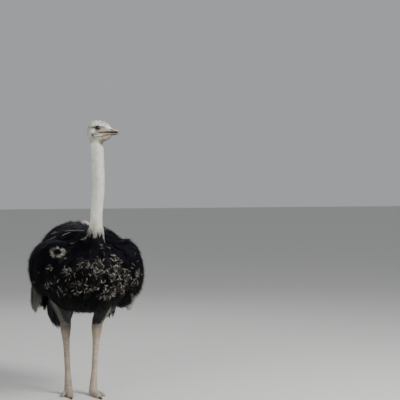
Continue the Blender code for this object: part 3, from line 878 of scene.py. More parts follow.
def make_bill(upper):
    """One jaw's horn: a dome over its edges for the upper, a shallow keel for the lower."""
    places = [0.08, 0.10, 0.11, 0.12, 0.13, 0.14, 0.15, 0.1575, 0.1615]
    if upper:
        name, sign, start, tip = "upper", 1, 0.084, 0.1615
        wide = [0.0275, 0.0236, 0.0221, 0.0204, 0.0183, 0.0155, 0.0113, 0.0062, 0.0012]
        far = [0.0085, -0.0015, -0.0038, -0.0062, -0.0092, -0.0132, -0.0190, -0.0245, -0.0285]
        nail_at, nail_bow, groove_at, groove_from = 0.1335, 0.010, 0.36, (0.088, 0.096)
    else:
        name, sign, start, tip = "lower", -1, 0.082, 0.1590
        wide = [0.0250, 0.0220, 0.0205, 0.0188, 0.0168, 0.0140, 0.0098, 0.0052, 0.0010]
        far = [-0.0548, -0.0566, -0.0568, -0.0560, -0.0546, -0.0527, -0.0500, -0.0465, -0.0440]
        nail_at, nail_bow, groove_at, groove_from = 0.1370, 0.006, 0.45, (0.09, 0.10)

    def place(u, v):
        ahead = start + (tip - start) * (1 - (1 - u) ** 1.3)
        half = curve(ahead, places, wide)
        edge = gape_height(ahead) + sign * gape_half(ahead)
        outer = curve(ahead, places, far)
        turn = v * 2 * np.pi
        swing = np.cos(turn)
        rise = np.sin(turn)
        # outside, from one edge over to the other, then the hollow inside of the jaw
        up = edge + (outer - edge) * np.abs(rise) ** 0.78
        inside = rise < 0
        hollow = (0.0022 + 0.25 * abs(outer - edge)) * (1 - swing**2) * ramp(tip - ahead, 0.0, 0.02)
        up = np.where(inside, edge + sign * hollow * 0.8, up)
        side = half * np.sign(swing) * np.abs(swing) ** np.where(inside, 1.0, 0.86)
        # a groove sets the nail off from the rest, and another runs along beside the edge
        nail = band(ahead - nail_at - nail_bow * np.abs(rise), 0.0016)
        groove = band(np.abs(rise) - groove_at, 0.06) * ramp(ahead, *groove_from)
        groove *= 1 - ramp(ahead, 0.128, 0.136)
        sink = np.where(inside, 0.0, 0.0005 * nail + 0.0005 * groove)
        sink = sink + 0.0016 * (1 - ramp(ahead, start, start + 0.010))
        if upper:
            sink += 0.0045 * nostril_share(ahead, up) * ~inside
        middle = (edge + outer) / 2
        side = side * (1 - sink / np.maximum(half, 0.004))
        up = middle + (up - middle) * (1 - sink / np.maximum(abs(outer - middle), 0.004))
        return from_head(np.stack([side, ahead, up], 1))

    shape = sheet(56, 64, place)
    bmesh.ops.remove_doubles(shape, verts=shape.verts, dist=0.00001)
    bmesh.ops.holes_fill(shape, edges=[edge for edge in shape.edges if edge.is_boundary])
    bmesh.ops.recalc_face_normals(shape, faces=shape.faces)
    bill = add_piece(f"horn_{name}", shape, HORN, "horn")
    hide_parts(f"bill_{name}")
    points = points_of(bill.data)
    side, ahead, up = in_head(points).T
    gape = up - gape_height(ahead)
    # painted shade: the lower horn darker than the upper, under it, and the upper horn darker towards its edge
    # over the mouth
    horn = LOWER_HORN_SHADE
    if upper:
        horn = mixed(UPPER_HORN, UPPER_EDGE_SHADE, 1 - ramp(gape, 0.007, 0.018))
    colour = mixed(skin_tone(points), horn, ramp(ahead, 0.088, 0.112))
    colour = mixed(colour, colour * 0.4 + NAIL * 0.6, ramp(ahead, 0.133, 0.142))
    if upper:
        # painted shade in the nostrils
        nostril = np.clip(1.5 * nostril_share(ahead, up), 0, 1) * (abs(side) > 0.006)
        colour = mixed(colour, MOUTH_SHADE * 0.6, nostril)
    # painted shade inside the jaws
    between = np.abs(gape) - gape_half(ahead)
    inner = (1 - ramp(between, 0.0005, 0.0012)) * (abs(side) < curve(ahead, places, wide) - 0.0015)
    colour = mixed(colour, MOUTH_SHADE * 1.3, inner * ramp(0.158 - ahead, 0.0, 0.01))
    edges = band(between, 0.0016) * (1 - inner)
    colour = mixed(colour, HORN_EDGE, edges * 0.6)
    colour = colour * (1 + 0.08 * drift(points * [1, 1, 3], 0.012, 8))[:, None]
    paint(bill.data, colour)


def make_tongue():
    """The tongue and the mouth's floor, which close the dark space between the jaws, painted near-black as the
    shade inside the mouth.
    """
    rings = []
    for ahead in np.linspace(0.012, 0.150, 26):
        half = max(gape_half(ahead) - 0.0006, 0.0004) * min(1.0, (0.1525 - ahead) / 0.012)
        wide = np.interp(ahead, [0.012, 0.06, 0.10, 0.13, 0.150], [0.012, 0.018, 0.015, 0.011, 0.004])
        ring = []
        for turn in np.linspace(0, 2 * np.pi, 16, endpoint=False):
            up = gape_height(ahead) - 0.0002 + half * math.sin(turn)
            ring.append(Vector(from_head([wide * math.cos(turn), ahead, up])))
        rings.append(ring)
    shape = bmesh.new()
    loft(shape, rings)
    tongue = add_piece("tongue", shape, SOFT_SKIN, "face_skin")
    paint(tongue.data, MOUTH_SHADE * 0.35)


def make_claw(side):
    """The one claw of each foot, on its big toe, rounded from the solid."""
    shape = welded(f"claw_{side}", 0.0002)
    claw = add_piece("claw", shape)
    claw.modifiers.new("Round", "SUBSURF").levels = 2
    claw = add_piece(f"claw_horn_{side}", settled(claw), CLAW, "horn")
    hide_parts(f"claw_{side}")
    points = points_of(claw.data)
    low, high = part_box(f"claw_{side}")
    paint(claw.data, mixed(CLAW_ROOT, CLAW_TIP, ramp(-points[:, 1], -high.y, -low.y)))


def cuts(name, axis, places):
    """Where a solid is cut across one axis: its middle and half size on the two others, at each place."""
    shape = welded(name)
    others = [number for number in range(3) if number != axis]
    normal = Vector([float(number == axis) for number in range(3)])
    middles, halves = [], []
    for place in places:
        cut = shape.copy()
        geometry = cut.verts[:] + cut.edges[:] + cut.faces[:]
        found = bmesh.ops.bisect_plane(cut, geom=geometry, plane_co=normal * place, plane_no=normal)
        found = [item for item in found["geom_cut"] if isinstance(item, bmesh.types.BMVert)]
        edge = np.array([[item.co[k] for k in others] for item in found])
        middles.append((edge.min(0) + edge.max(0)) / 2)
        halves.append((edge.max(0) - edge.min(0)) / 2)
        cut.free()
    shape.free()
    return np.array(middles), np.array(halves)


def make_scutes(name, centres, ups, rights, count, spread, proud):
    """A row of broad overlapping scutes along a leg or toe, from its lower end up."""
    along = np.linspace(0, 1, len(centres))

    def place(u, v):
        rng = np.random.default_rng(len(name))
        across = 2 * u - 1
        middle, up, right = (
            np.stack([np.interp(v, along, rows[:, k]) for k in range(3)], 1)
            for rows in (centres, ups, rights)
        )
        turn = across * spread
        way = unit(unit(up) * np.cos(turn)[:, None] + unit(right) * np.sin(turn)[:, None])
        skin_at = []
        for start, heading in zip(middle + way * 0.09, way):
            hit = SKIN_TREE.ray_cast(Vector(start), Vector(-heading), 0.09)[0]
            skin_at.append(hit if hit else Vector(start - heading * 0.07))
        row = v * count - 0.30 * across**2 - 0.10 * across**4
        part = row - np.floor(row)
        taller = rng.uniform(0.8, 1.2, count + 3)[np.clip(np.floor(row).astype(int) + 1, 0, count + 2)]
        height = proud * taller * (ramp(part, 0.0, 0.16) * (1 - 0.55 * part) - 0.35 * ramp(part, 0.86, 1.0))
        ends = ramp(abs(across), 0.80, 1.0) + ramp(v + 0.05 * np.cos(across * 3), 0.86, 1.04)
        ends = ends + 1 - ramp(v, 0.0, 0.03)
        return np.array(skin_at) + way * (height - (proud + 0.0012) * np.clip(ends, 0, 1) - 0.0003)[:, None]

    shape = sheet(22, count * 7, place)
    bmesh.ops.recalc_face_normals(shape, faces=shape.faces)
    shape.faces.ensure_lookup_table()
    face = shape.faces[len(shape.faces) // 2]
    if face.normal.dot(Vector(ups[len(ups) // 2])) < 0:
        bmesh.ops.reverse_faces(shape, faces=shape.faces)
    scutes = add_piece(name, shape, HIDE, "leg_skin")
    points = points_of(scutes.data)
    proud_by = np.array([SKIN_TREE.find_nearest(Vector(point))[3] for point in points])
    mark_scaly(scutes.data, np.full(len(points), 0.15))
    paint(scutes.data, skin_tone(points) * (0.72 + 0.38 * ramp(proud_by, 0.0002, 0.6 * proud))[:, None])


def make_leg_scutes(side):
    """The scutes down the shank's front and along both toes of one leg."""
    heights = np.linspace(0.062, HOCK_HEIGHT - 0.035, 12)
    middles, _ = cuts(f"shank_{side}", 2, heights)
    centres = np.column_stack([middles, heights])
    front = np.tile([SIDES[side] * 0.18, -1.0, 0.0], (12, 1))
    make_scutes(f"shank_scutes_{side}", centres, front, np.cross([0, 0, 1.0], front), 26, 0.92, 0.0014)
    for toe, count in (("big", 15), ("small", 9)):
        low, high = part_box(f"{toe}_toe_{side}")
        places = np.linspace(low.y + 0.012, high.y - (0.085 if toe == "big" else 0.045), 8)
        middles, _ = cuts(f"{toe}_toe_{side}", 1, places)
        centres = np.column_stack([middles[:, 0], places, middles[:, 1] * 0.8])
        ups = np.tile([0.0, -0.15, 1.0], (8, 1))
        rights = np.tile([-1.0, 0.0, 0.0], (8, 1))
        make_scutes(f"{toe}_toe_scutes_{side}", centres, ups, rights, count, 0.95, 0.0012)


EYE = finish("eyeball", 0.08, mottle=0.05, Specular_IOR_Level=0.3, Coat_Weight=0.35, Coat_Roughness=0.02)
SOFT_SKIN = finish("lid skin", 0.5, bump=[("Noise", 900.0, 0.35, 0.0004)], mottle=0.12, mottle_scale=300.0)
HORN = finish(
    "bill horn", 0.36, bump=[("Noise", 260.0, 0.18, 0.0004)], mottle=0.10, mottle_scale=130.0,
    Subsurface_Weight=0.06, Subsurface_Scale=0.003,
)
CLAW = finish("claw horn", 0.42, bump=[("Noise", 350.0, 0.3, 0.0004)], mottle=0.2, mottle_scale=160.0)

for side in SIDES:
    make_eye(side)
    make_lids(side)
    make_claw(side)
    make_leg_scutes(side)
make_bill(True)
make_bill(False)
make_tongue()


# ---------------------------------------------------------------- how the coat is planted


def nearest(tree, points):
    """Each point's nearest place on a surface, and the way out of it there."""
    found = [tree.find_nearest(Vector(point)) for point in points]
    return np.array([hit[0] for hit in found]), np.array([hit[1] for hit in found])


def lie(ways, normals):
    """The ways laid flat against surfaces with these normals."""
    return unit(ways - normals * (ways * normals).sum(-1, keepdims=True))


def skin_surface():
    """The skin's triangles: their corners' places and normals."""
    data = skin.data
    data.calc_loop_triangles()
    corners = np.empty(len(data.loop_triangles) * 3, np.int32)
    data.loop_triangles.foreach_get("vertices", corners)
    corners = corners.reshape(-1, 3)
    return points_of(data)[corners], normals_of(data)[corners]


def scatter(share_at, spacing, seed):
    """Roots on the skin about spacing apart, wherever share_at is above 0, and the normals there."""
    rng = np.random.default_rng(seed)
    corners, normals = SKIN_CORNERS
    sides = corners[:, 1:] - corners[:, :1]
    weight = np.linalg.norm(np.cross(sides[:, 0], sides[:, 1]), axis=1) / 2 * share_at(corners.mean(axis=1))
    count = int(weight.sum() / spacing**2 * 4)
    chosen = rng.choice(len(weight), count, p=weight / weight.sum())
    shares = rng.dirichlet((1, 1, 1), count)[..., None]
    places = (corners[chosen] * shares).sum(axis=1)
    cells = np.floor(places / spacing + rng.random(3)).astype(int)
    first = np.unique(cells, axis=0, return_index=True)[1]
    rng.shuffle(first)
    return places[first], unit((normals[chosen] * shares).sum(axis=1)[first])


def unwrap(points):
    """The places' own spots on a flat map of the skin: the trunk below, the neck, head and legs above."""
    x, y, z = points.T
    side, ahead, up = in_head(points).T
    turn = np.arctan2(x, z - TRUNK_MIDDLE.z) / (2 * np.pi) + 0.5
    trunk = np.stack([0.03 + 0.94 * (y - TRUNK_LOW.y) / 1.35, 0.03 + 0.44 * turn], 1)
    turn = np.arctan2(x - NECK_FOOT.x, NECK_FOOT.y - y) / (2 * np.pi) + 0.5
    neck = np.stack([0.03 + 0.42 * turn, 0.52 + 0.45 * (z - 1.15) / (HEAD_PLACE.z - 1.15)], 1)
    turn = np.arctan2(side, up + 0.02) / (2 * np.pi) + 0.5
    head = np.stack([0.50 + 0.46 * (ahead + 0.09) / 0.22, 0.52 + 0.20 * turn], 1)
    turn = np.arctan2(abs(x) - 0.12, -0.05 - y) / (2 * np.pi) + 0.5
    leg = np.stack([np.where(x > 0, 0.50, 0.74) + 0.22 * turn, 0.75 + 0.22 * z / 0.9], 1)
    spots = np.where((plumage_share(points) > 0.4)[:, None], trunk, np.where((z > 1.1)[:, None], neck, leg))
    spots = np.where(((z > HEAD_PLACE.z - 0.09) & (z > 1.1))[:, None], head, spots)
    return np.clip(spots, 0.005, 0.99)


def ribbons(spines, sides, halves):
    """Ribbons along spines, (count, stations, 3), that end in points: their vertices, faces and u, v."""
    count, stations = spines.shape[:2]
    edge = sides * halves[..., None]
    pairs = np.stack([spines - edge, spines + edge], 2)[:, :-1].reshape(count, -1, 3)
    verts = np.concatenate([pairs, spines[:, -1:]], 1)
    faces = []
    for row in range(0, 2 * (stations - 2), 2):
        faces += [(row + 1, row, row + 2), (row + 1, row + 2, row + 3)]
    last = 2 * (stations - 2)
    faces.append((last + 1, last, last + 2))
    along = np.append(np.repeat(np.linspace(0, 1, stations)[:-1], 2), 1)
    across = np.append(np.tile([0.0, 1.0], stations - 1), 0.5)
    return verts, np.array(faces), across, along


class Coat:
    """Gathers ribbons and makes pieces of them, each of at most MOST_FACES faces."""

    def __init__(self, name, material, slot, replaces=()):
        self.name, self.material, self.slot, self.replaces = name, material, slot, replaces
        self.parts = []

    def add(self, spines, sides, halves, tones, roots, outs):
        """Ribbons in tufts: spines and tones are (tufts, blades, stations, 3), roots and outs (tufts, 3)."""
        tufts, blades, stations = spines.shape[:3]
        flat = tufts * blades
        spines, sides = (rows.reshape(flat, stations, 3) for rows in (spines, sides))
        verts, faces, u, v = ribbons(spines, sides, halves.reshape(flat, stations))
        colours = tones.reshape(flat, stations, 3)
        colours = np.concatenate([np.repeat(colours[:, :-1], 2, axis=1), colours[:, -1:]], 1)
        blade = np.tile(np.linspace(0, 1, blades), tufts)
        spots = np.repeat(unwrap(roots), blades, axis=0)[:, None] + PATCH * np.stack(
            [0.8 * blade[:, None] + 0.2 * u - 0.5, np.broadcast_to(v, (flat, len(v))) - 0.5], 2
        )
        per = verts.shape[1]
        self.parts.append(
            (
                verts.reshape(tufts, blades * per, 3),
                (faces[None] + per * np.arange(blades)[:, None, None]).reshape(-1, 3),
                colours.reshape(tufts, blades * per, 3),
                spots.reshape(tufts, blades * per, 2),
                np.repeat(outs[:, None], blades * per, axis=1),
            )
        )

    def make(self):
        """Shares the ribbons out over as many pieces as they need."""
        made = []
        for verts, faces, *rest in self.parts:
            most = max(1, MOST_IN_RUN // len(faces))
            for start in range(0, len(verts), most):
                made.append((verts[start:start + most], faces, *(rows[start:start + most] for rows in rest)))
        batches, size = [[]], 0
        for part in made:
            faces = len(part[0]) * len(part[1])
            if size + faces > MOST_FACES:
                batches.append([])
                size = 0
            batches[-1].append(part)
            size += faces
        for number, batch in enumerate(batches):
            name = self.name if len(batches) == 1 else f"{self.name}_{number + 1}"
            piece = self.piece(name, batch)
            if number == 0 and self.replaces:
                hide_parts(*self.replaces)

    def piece(self, name, batch):
        """One piece, with its map and tones, from runs of ribbons."""
        places, corners, colours, spots, outs, start = [], [], [], [], [], 0
        for verts, faces, tones, uvs, ways in batch:
            tufts, per = verts.shape[:2]
            places.append(verts.reshape(-1, 3))
            colours.append(tones.reshape(-1, 3))
            spots.append(uvs.reshape(-1, 2))
            outs.append(ways.reshape(-1, 3))
            corners.append((faces[None] + per * np.arange(tufts)[:, None, None]).reshape(-1, 3) + start)
            start += tufts * per
        places, corners, colours, spots, outs = (
            np.concatenate(rows) for rows in (places, corners, colours, spots, outs)
        )
        data = bpy.data.meshes.new(name)
        data.vertices.add(len(places))
        data.vertices.foreach_set("co", places.astype(np.float32).ravel())
        data.loops.add(corners.size)
        data.loops.foreach_set("vertex_index", corners.astype(np.int32).ravel())
        data.polygons.add(len(corners))
        data.polygons.foreach_set("loop_start", np.arange(0, corners.size, 3, dtype=np.int32))
        data.update(calc_edges=True)
        uvs = spots[corners.ravel()].astype(np.float32).ravel()
        data.uv_layers.new(name="OFBake").data.foreach_set("uv", uvs)
        paint(data, colours)
        piece = add_piece(name, data, self.material, self.slot)
        # thin ribbons take the light as the soft coat they make up does
        data.normals_split_custom_set_from_vertices(unit(outs * 1.2 + normals_of(data)))
        return piece


def turned(ways, normals, angles):
    """The ways turned about the normals."""
    angles = np.asarray(angles)[..., None]
    return ways * np.cos(angles) + np.cross(normals, ways) * np.sin(angles)


def plant_tufts(coat, roots, normals, ways, lengths, widths, tones, tips, rng, rise, blades=2, spread=0.3,
                sag=0.25):
    """Small tufts of plain blades that leave the skin at a slope, then settle back along it."""
    count = len(roots)
    stations = 3
    widths = np.broadcast_to(widths, count)
    ways = lie(ways, normals)
    shape = (count, blades)
    turns = rng.normal(0, spread, shape)
    slopes = rise * rng.uniform(0.6, 1.3, shape)
    long = lengths[:, None] * rng.uniform(0.75, 1.15, shape)
    normal = np.repeat(normals[:, None], blades, 1)
    way = turned(np.repeat(ways[:, None], blades, 1), normal, turns)
    spines = np.empty((count, blades, stations, 3))
    spines[:, :, 0] = (roots - normals * 0.0004)[:, None] + np.cross(normal, way) * (
        rng.uniform(-1, 1, shape) * widths[:, None]
    )[..., None]
    for step in range(1, stations):
        slope = slopes - sag * (step - 1) / (stations - 1)
        heading = way * np.cos(slope)[..., None] + normal * np.sin(slope)[..., None]
        spines[:, :, step] = spines[:, :, step - 1] + heading * (long / (stations - 1))[..., None]
    twist = rng.uniform(-0.6, 0.6, shape)[..., None]
    flat = np.cross(normal, way)
    side = flat * np.cos(twist) + normal * np.sin(twist)
    taper = np.array([0.55, 1.0, 0.6]) / 2
    along = np.linspace(0, 1, stations)
    tone = tones[:, None, None] + (tips - tones)[:, None, None] * along[:, None]
    tone = tone * rng.uniform(0.86, 1.12, (*shape, 1, 1))
    halves = widths[:, None, None] * taper * np.ones((*shape, 1))
    coat.add(spines, np.repeat(side[:, :, None], stations, 2), halves, tone, roots, normals)


def plant_plumes(coat, lines, normals, widths, tones, tips, pale_from, rng, pairs, thread, curl=0.5,
                 blunt=0.6, hang=0.25, opened=46):
    """Plumes with loose barbs along their lines, (plumes, points, 3).

    tones and tips are the colours at a plume's root and ends. From pale_from on, along a barb, its tip's
    colour shows. pairs barbs, thread wide, stand off each side of a line.
    """
    count, knots = lines.shape[:2]
    stations = 4
    widths = np.broadcast_to(widths, count)
    pale_from = np.asarray(pale_from).reshape(-1, 1, 1)
    heading = unit(np.gradient(lines, axis=1))
    normals = lie(normals, heading)
    across = np.cross(normals, heading)
    at = np.linspace(0.12, 0.985, pairs)[None] + rng.uniform(-0.5, 0.5, (count, pairs)) * 0.8 / pairs
    at = np.clip(np.repeat(at, 2, axis=1) + rng.uniform(-0.2, 0.2, (count, 2 * pairs)) / pairs, 0.02, 1)
    sign = np.tile([-1.0, 1.0], pairs)[None]
    spot = at * (knots - 1)
    low = np.minimum(spot.astype(int), knots - 2)
    part = (spot - low)[..., None]

    def on_line(values):
        first = np.take_along_axis(values, low[..., None], 1)
        second = np.take_along_axis(values, low[..., None] + 1, 1)
        return first + (second - first) * part

    base = on_line(lines)
    ahead, out, side = (unit(on_line(values)) for values in (heading, normals, across))
    shape = (count, 2 * pairs)
    angles = np.radians(opened + (10 - opened) * at**1.2) + rng.normal(0, 0.16, shape)
    full = np.sin(np.pi * np.clip(0.12 + 0.62 * at, 0, 1)) * (1 - (1 - blunt) * ramp(at, 0.75, 1.0))
    long = widths[:, None] * full * rng.uniform(0.7, 1.25, shape) / np.maximum(np.sin(angles), 0.5)
    curls = np.clip(np.asarray(curl).reshape(-1, 1) * rng.uniform(0.1, 1.5, shape), 0, 2.4)
    dips = rng.uniform(-0.25, 0.05, shape)
    sweeps = rng.normal(0.75, 0.45, shape)
    spines = np.empty((*shape, stations, 3))
    spines[:, :, 0] = base
    for step in range(1, stations):
        share = (step - 0.5) / (stations - 1)
        angle = angles * (1 - sweeps * share)
        lift = dips + curls * share**2.5
        way = ahead * np.cos(angle)[..., None] + side * (np.sin(angle) * sign)[..., None]
        way = way * np.cos(lift)[..., None] + out * np.sin(lift)[..., None]
        way = unit(way + [0, 0, -hang * share])
        spines[:, :, step] = spines[:, :, step - 1] + way * (long / (stations - 1))[..., None]
    flat = unit(np.cross(out, spines[:, :, -1] - spines[:, :, 0]))
    twist = rng.uniform(-0.7, 0.7, shape)[..., None]
    flat = flat * np.cos(twist) + out * np.sin(twist)
    taper = np.interp(np.linspace(0, 1, stations), [0, 0.3, 0.7, 1], [0.7, 1.0, 0.75, 0.3])
    halves = thread / 2 * taper * rng.uniform(0.75, 1.25, (*shape, 1))
    along = np.clip(at[..., None] * 0.55 + np.linspace(0, 0.55, stations), 0, 1)
    shares = ramp(along, pale_from, pale_from + 0.3)
    tone = mixed(tones[:, None, None], tips[:, None, None], shares) * rng.uniform(0.8, 1.2, (*shape, 1, 1))
    roots = lines[:, 0]
    middle_out = normals[:, knots // 2 + 1]
    coat.add(spines, np.repeat(flat[:, :, None], stations, 2), halves, tone, roots, middle_out)
    # the shaft
    line_half = np.linspace(0.0011, 0.0003, knots) * np.ones((count, 1, 1))
    shares = ramp(np.linspace(0, 1, knots) * 0.9, pale_from[..., 0], pale_from[..., 0] + 0.3)
    tone = mixed(tones[:, None], tips[:, None], shares)[:, None]
    coat.add(lines[:, None], across[:, None], line_half, tone, roots, middle_out)


# ---------------------------------------------------------------- the plumage


def plume_surface():
    """Where the outermost plumes lie: just under the solids' outsides, and over the neck's foot."""
    neck = welded("neck_lower")
    for vert in neck.verts:
        vert.co.z = min(vert.co.z, NECK_FOOT.z + 0.12)
    shape = fused([*plumage(), hull(neck)], PLUMAGE_FACE, 2)
    swelled(shape, -TIP_DEPTH)
    tree = BVHTree.FromBMesh(shape)
    shape.free()
    return tree


HULL_TREE = plume_surface()
SKIN_CORNERS = skin_surface()


def body_way(points):
    """Which way the plumes lie: back and down, outward over the sides, and away from the neck's foot."""
    away = points - np.array(NECK_FOOT)
    near = band(np.linalg.norm(away, axis=1), 0.20)
    way = np.zeros_like(points)
    way[:, 0] = 0.35 * np.clip(points[:, 0] / 0.2, -1, 1)
    way[:, 1] = 0.55
    way[:, 2] = -1.0
    return way + unit(away * [1, 1, 0.4]) * (2.4 * near)[:, None]


def over_hull(roots, lengths, clump, rng):
    """Lines that leave the skin and run along the plumage's outside, with the ways out of it there."""
    knots = 7
    centres, ways, lifts = clump
    place, normal = nearest(HULL_TREE, roots)
    depth = np.maximum(((place - roots) * normal).sum(1), 0.001)
    steps = lengths / (knots - 1)
    swirl = 0.30 * drift(roots, 0.20, 11) + ways + rng.normal(0, 0.10, len(roots))
    line, outs = [place], [normal]
    heading = None
    for _ in range(knots - 1):
        way = turned(lie(body_way(place), normal), normal, swirl)
        across = np.cross(normal, way)
        aside = ((centres - place) * across).sum(1) / np.maximum(lengths, 0.05)
        way = unit(way + across * np.clip(aside * 1.1, -0.5, 0.5)[:, None])
        heading = way if heading is None else unit(way * 0.5 + heading * 0.5)
        reached = place + heading * steps[:, None]
        surface, facing = nearest(HULL_TREE, reached)
        over = reached - surface
        far = np.linalg.norm(over, axis=1)
        place = surface + over * (np.clip(far - 0.012, 0, 0.008) / np.maximum(far, 1e-6))[:, None]
        normal = unit(normal * 0.5 + facing * 0.5)
        line.append(place)
        outs.append(normal)
    line, outs = np.stack(line, 1), np.stack(outs, 1)
    along = np.linspace(0, 1, knots)
    layer = (0.014 - lifts)[:, None] + rng.uniform(-0.003, 0.003, (len(roots), 1))
    from_neck = from_neck_foot(line, 0.8, 0.04)
    layer = layer * ramp(from_neck, 0.09, 0.16) + 0.001
    down = depth[:, None] * (1 - ramp(along, 0, 0.6)) + layer * ramp(along, 0, 0.6)
    return line - outs * down[..., None], outs


def on_front(spots):
    """Places on the plumage's front at (across, height) from the trunk's middle, and the ways out there."""
    starts = [Vector((TRUNK_MIDDLE.x + across, TRUNK_LOW.y - 0.2, height)) for across, height in spots]
    hits = [HULL_TREE.ray_cast(start, Vector((0, 1, 0)))[:2] for start in starts]
    hits = [hit for hit in hits if hit[0]]
    return np.array([hit[0] for hit in hits]), np.array([hit[1] for hit in hits])


# The places where the plumes' ends are worn pale: across and height of each one's middle, its
# spread both ways, and how many worn ends it holds
WORN = (
    # a ring on the right wing
    *(
        (-0.280 + 0.040 * math.cos(turn), 1.127 + 0.029 * math.sin(turn), 0.004, 0.003, 8)
        for turn in np.linspace(0, 2 * np.pi, 9, endpoint=False)
    ),
    (-0.330, 1.020, 0.010, 0.014, 8),
    (-0.225, 0.997, 0.022, 0.020, 20),
    (-0.320, 0.890, 0.010, 0.014, 7),
    (-0.240, 0.862, 0.030, 0.016, 12),
    # the breast
    (-0.130, 1.045, 0.022, 0.030, 11),
    (-0.075, 1.030, 0.028, 0.030, 22),
    (-0.018, 1.040, 0.028, 0.032, 22),
    (-0.030, 0.985, 0.040, 0.018, 14),
    (-0.155, 0.912, 0.030, 0.020, 17),
    (-0.170, 0.832, 0.045, 0.012, 14),
    (-0.070, 0.858, 0.030, 0.018, 14),
    (0.040, 0.803, 0.030, 0.012, 24),
    (0.090, 0.838, 0.026, 0.012, 12),
    (0.030, 0.872, 0.028, 0.012, 10),
    (0.015, 1.180, 0.004, 0.004, 2),
    (-0.170, 1.195, 0.006, 0.006, 3),
    (-0.090, 1.215, 0.006, 0.006, 3),
    # the left side
    (0.105, 1.085, 0.014, 0.020, 8),
    (0.130, 1.020, 0.020, 0.024, 16),
    (0.100, 0.955, 0.028, 0.028, 22),
    (0.165, 0.975, 0.026, 0.024, 14),
    (0.225, 0.925, 0.018, 0.020, 12),
    (0.310, 0.955, 0.018, 0.020, 10),
    (0.300, 0.890, 0.018, 0.022, 10),
    (0.180, 0.862, 0.028, 0.018, 14),
    (0.130, 0.878, 0.026, 0.018, 10),
    (0.200, 0.825, 0.014, 0.010, 7),
)


def worn_share(points):
    """How worn the plumes' ends are by place, over the breast and the wings' fronts."""
    share = np.zeros(len(points))
    for across, height, wide, tall, _ in WORN:
        aside, above = points[:, 0] - TRUNK_MIDDLE.x - across, points[:, 2] - height
        share = np.maximum(share, band(np.hypot(aside / (wide + 0.014), above / (tall + 0.015)), 1.0))
    return share * (1 - ramp(points[:, 1], -0.20, 0.0))


def stray_share(points):
    """Where a worn end may lie by itself: on the front half of the plumage."""
    return plumage_share(points) * ((points[:, 1] > -0.15) & (points[:, 2] < 1.2))


def plant_worn_tips():
    """The plumes' ends that are worn pale: small curled strokes in patches on the breast and wings."""
    rng = np.random.default_rng(21)
    spots = [rng.normal(patch[:2], patch[2:4], (patch[4], 2)) for patch in WORN]
    spots.append(rng.normal((-0.02, 0.950), (0.220, 0.100), (44, 2)))
    places, outs = on_front(np.concatenate(spots))
    more, more_outs = scatter(stray_share, STRAY_SPACING, 22)
    more, more_outs = nearest(HULL_TREE, more)
    places, outs = np.concatenate([places, more]), np.concatenate([outs, more_outs])
    count, knots = len(places), 7
    steps = rng.uniform(0.010, 0.034, count) / (knots - 1)
    bends = rng.uniform(0.02, 0.30, count) * rng.choice([-1, 1], count)
    turns = rng.normal(0, 1.25, count) - bends * 3
    line, ways_out = [places], [outs]
    places = places - turned(lie(body_way(places), outs), outs, turns + 3 * bends) * (3 * steps[:, None])
    for _ in range(knots - 1):
        heading = turned(lie(body_way(places), outs), outs, turns)
        places, outs = nearest(HULL_TREE, places + heading * steps[:, None])
        turns = turns + bends
        line.append(places)
        ways_out.append(outs)
    line, ways_out = np.stack(line, 1), np.stack(ways_out, 1)
    lift = rng.uniform(-0.010, -0.001, (count, 1)) + 0.009 * ramp(np.linspace(0, 1, knots), 0, 0.7)
    tone = PALE_TIP * (0.05 + 0.80 * rng.random((count, 1)) ** 1.8) * (1 + 0.4 * (line[:, :1, 0] < -0.2))
    tone = np.minimum(tone, PALE_TIP)
    tone[-len(more):] *= 0.4
    coat = Coat("worn_tips", WHITE_PLUME, "black_plume")
    line = line + ways_out * lift[..., None]
    widths = rng.uniform(0.0025, 0.008, count)
    plant_plumes(coat, line, ways_out, widths, tone * 0.08, tone, 0.05, rng, pairs=11, thread=0.0011,
                 curl=1.0, blunt=0.9, hang=0.0, opened=30)
    coat.make()


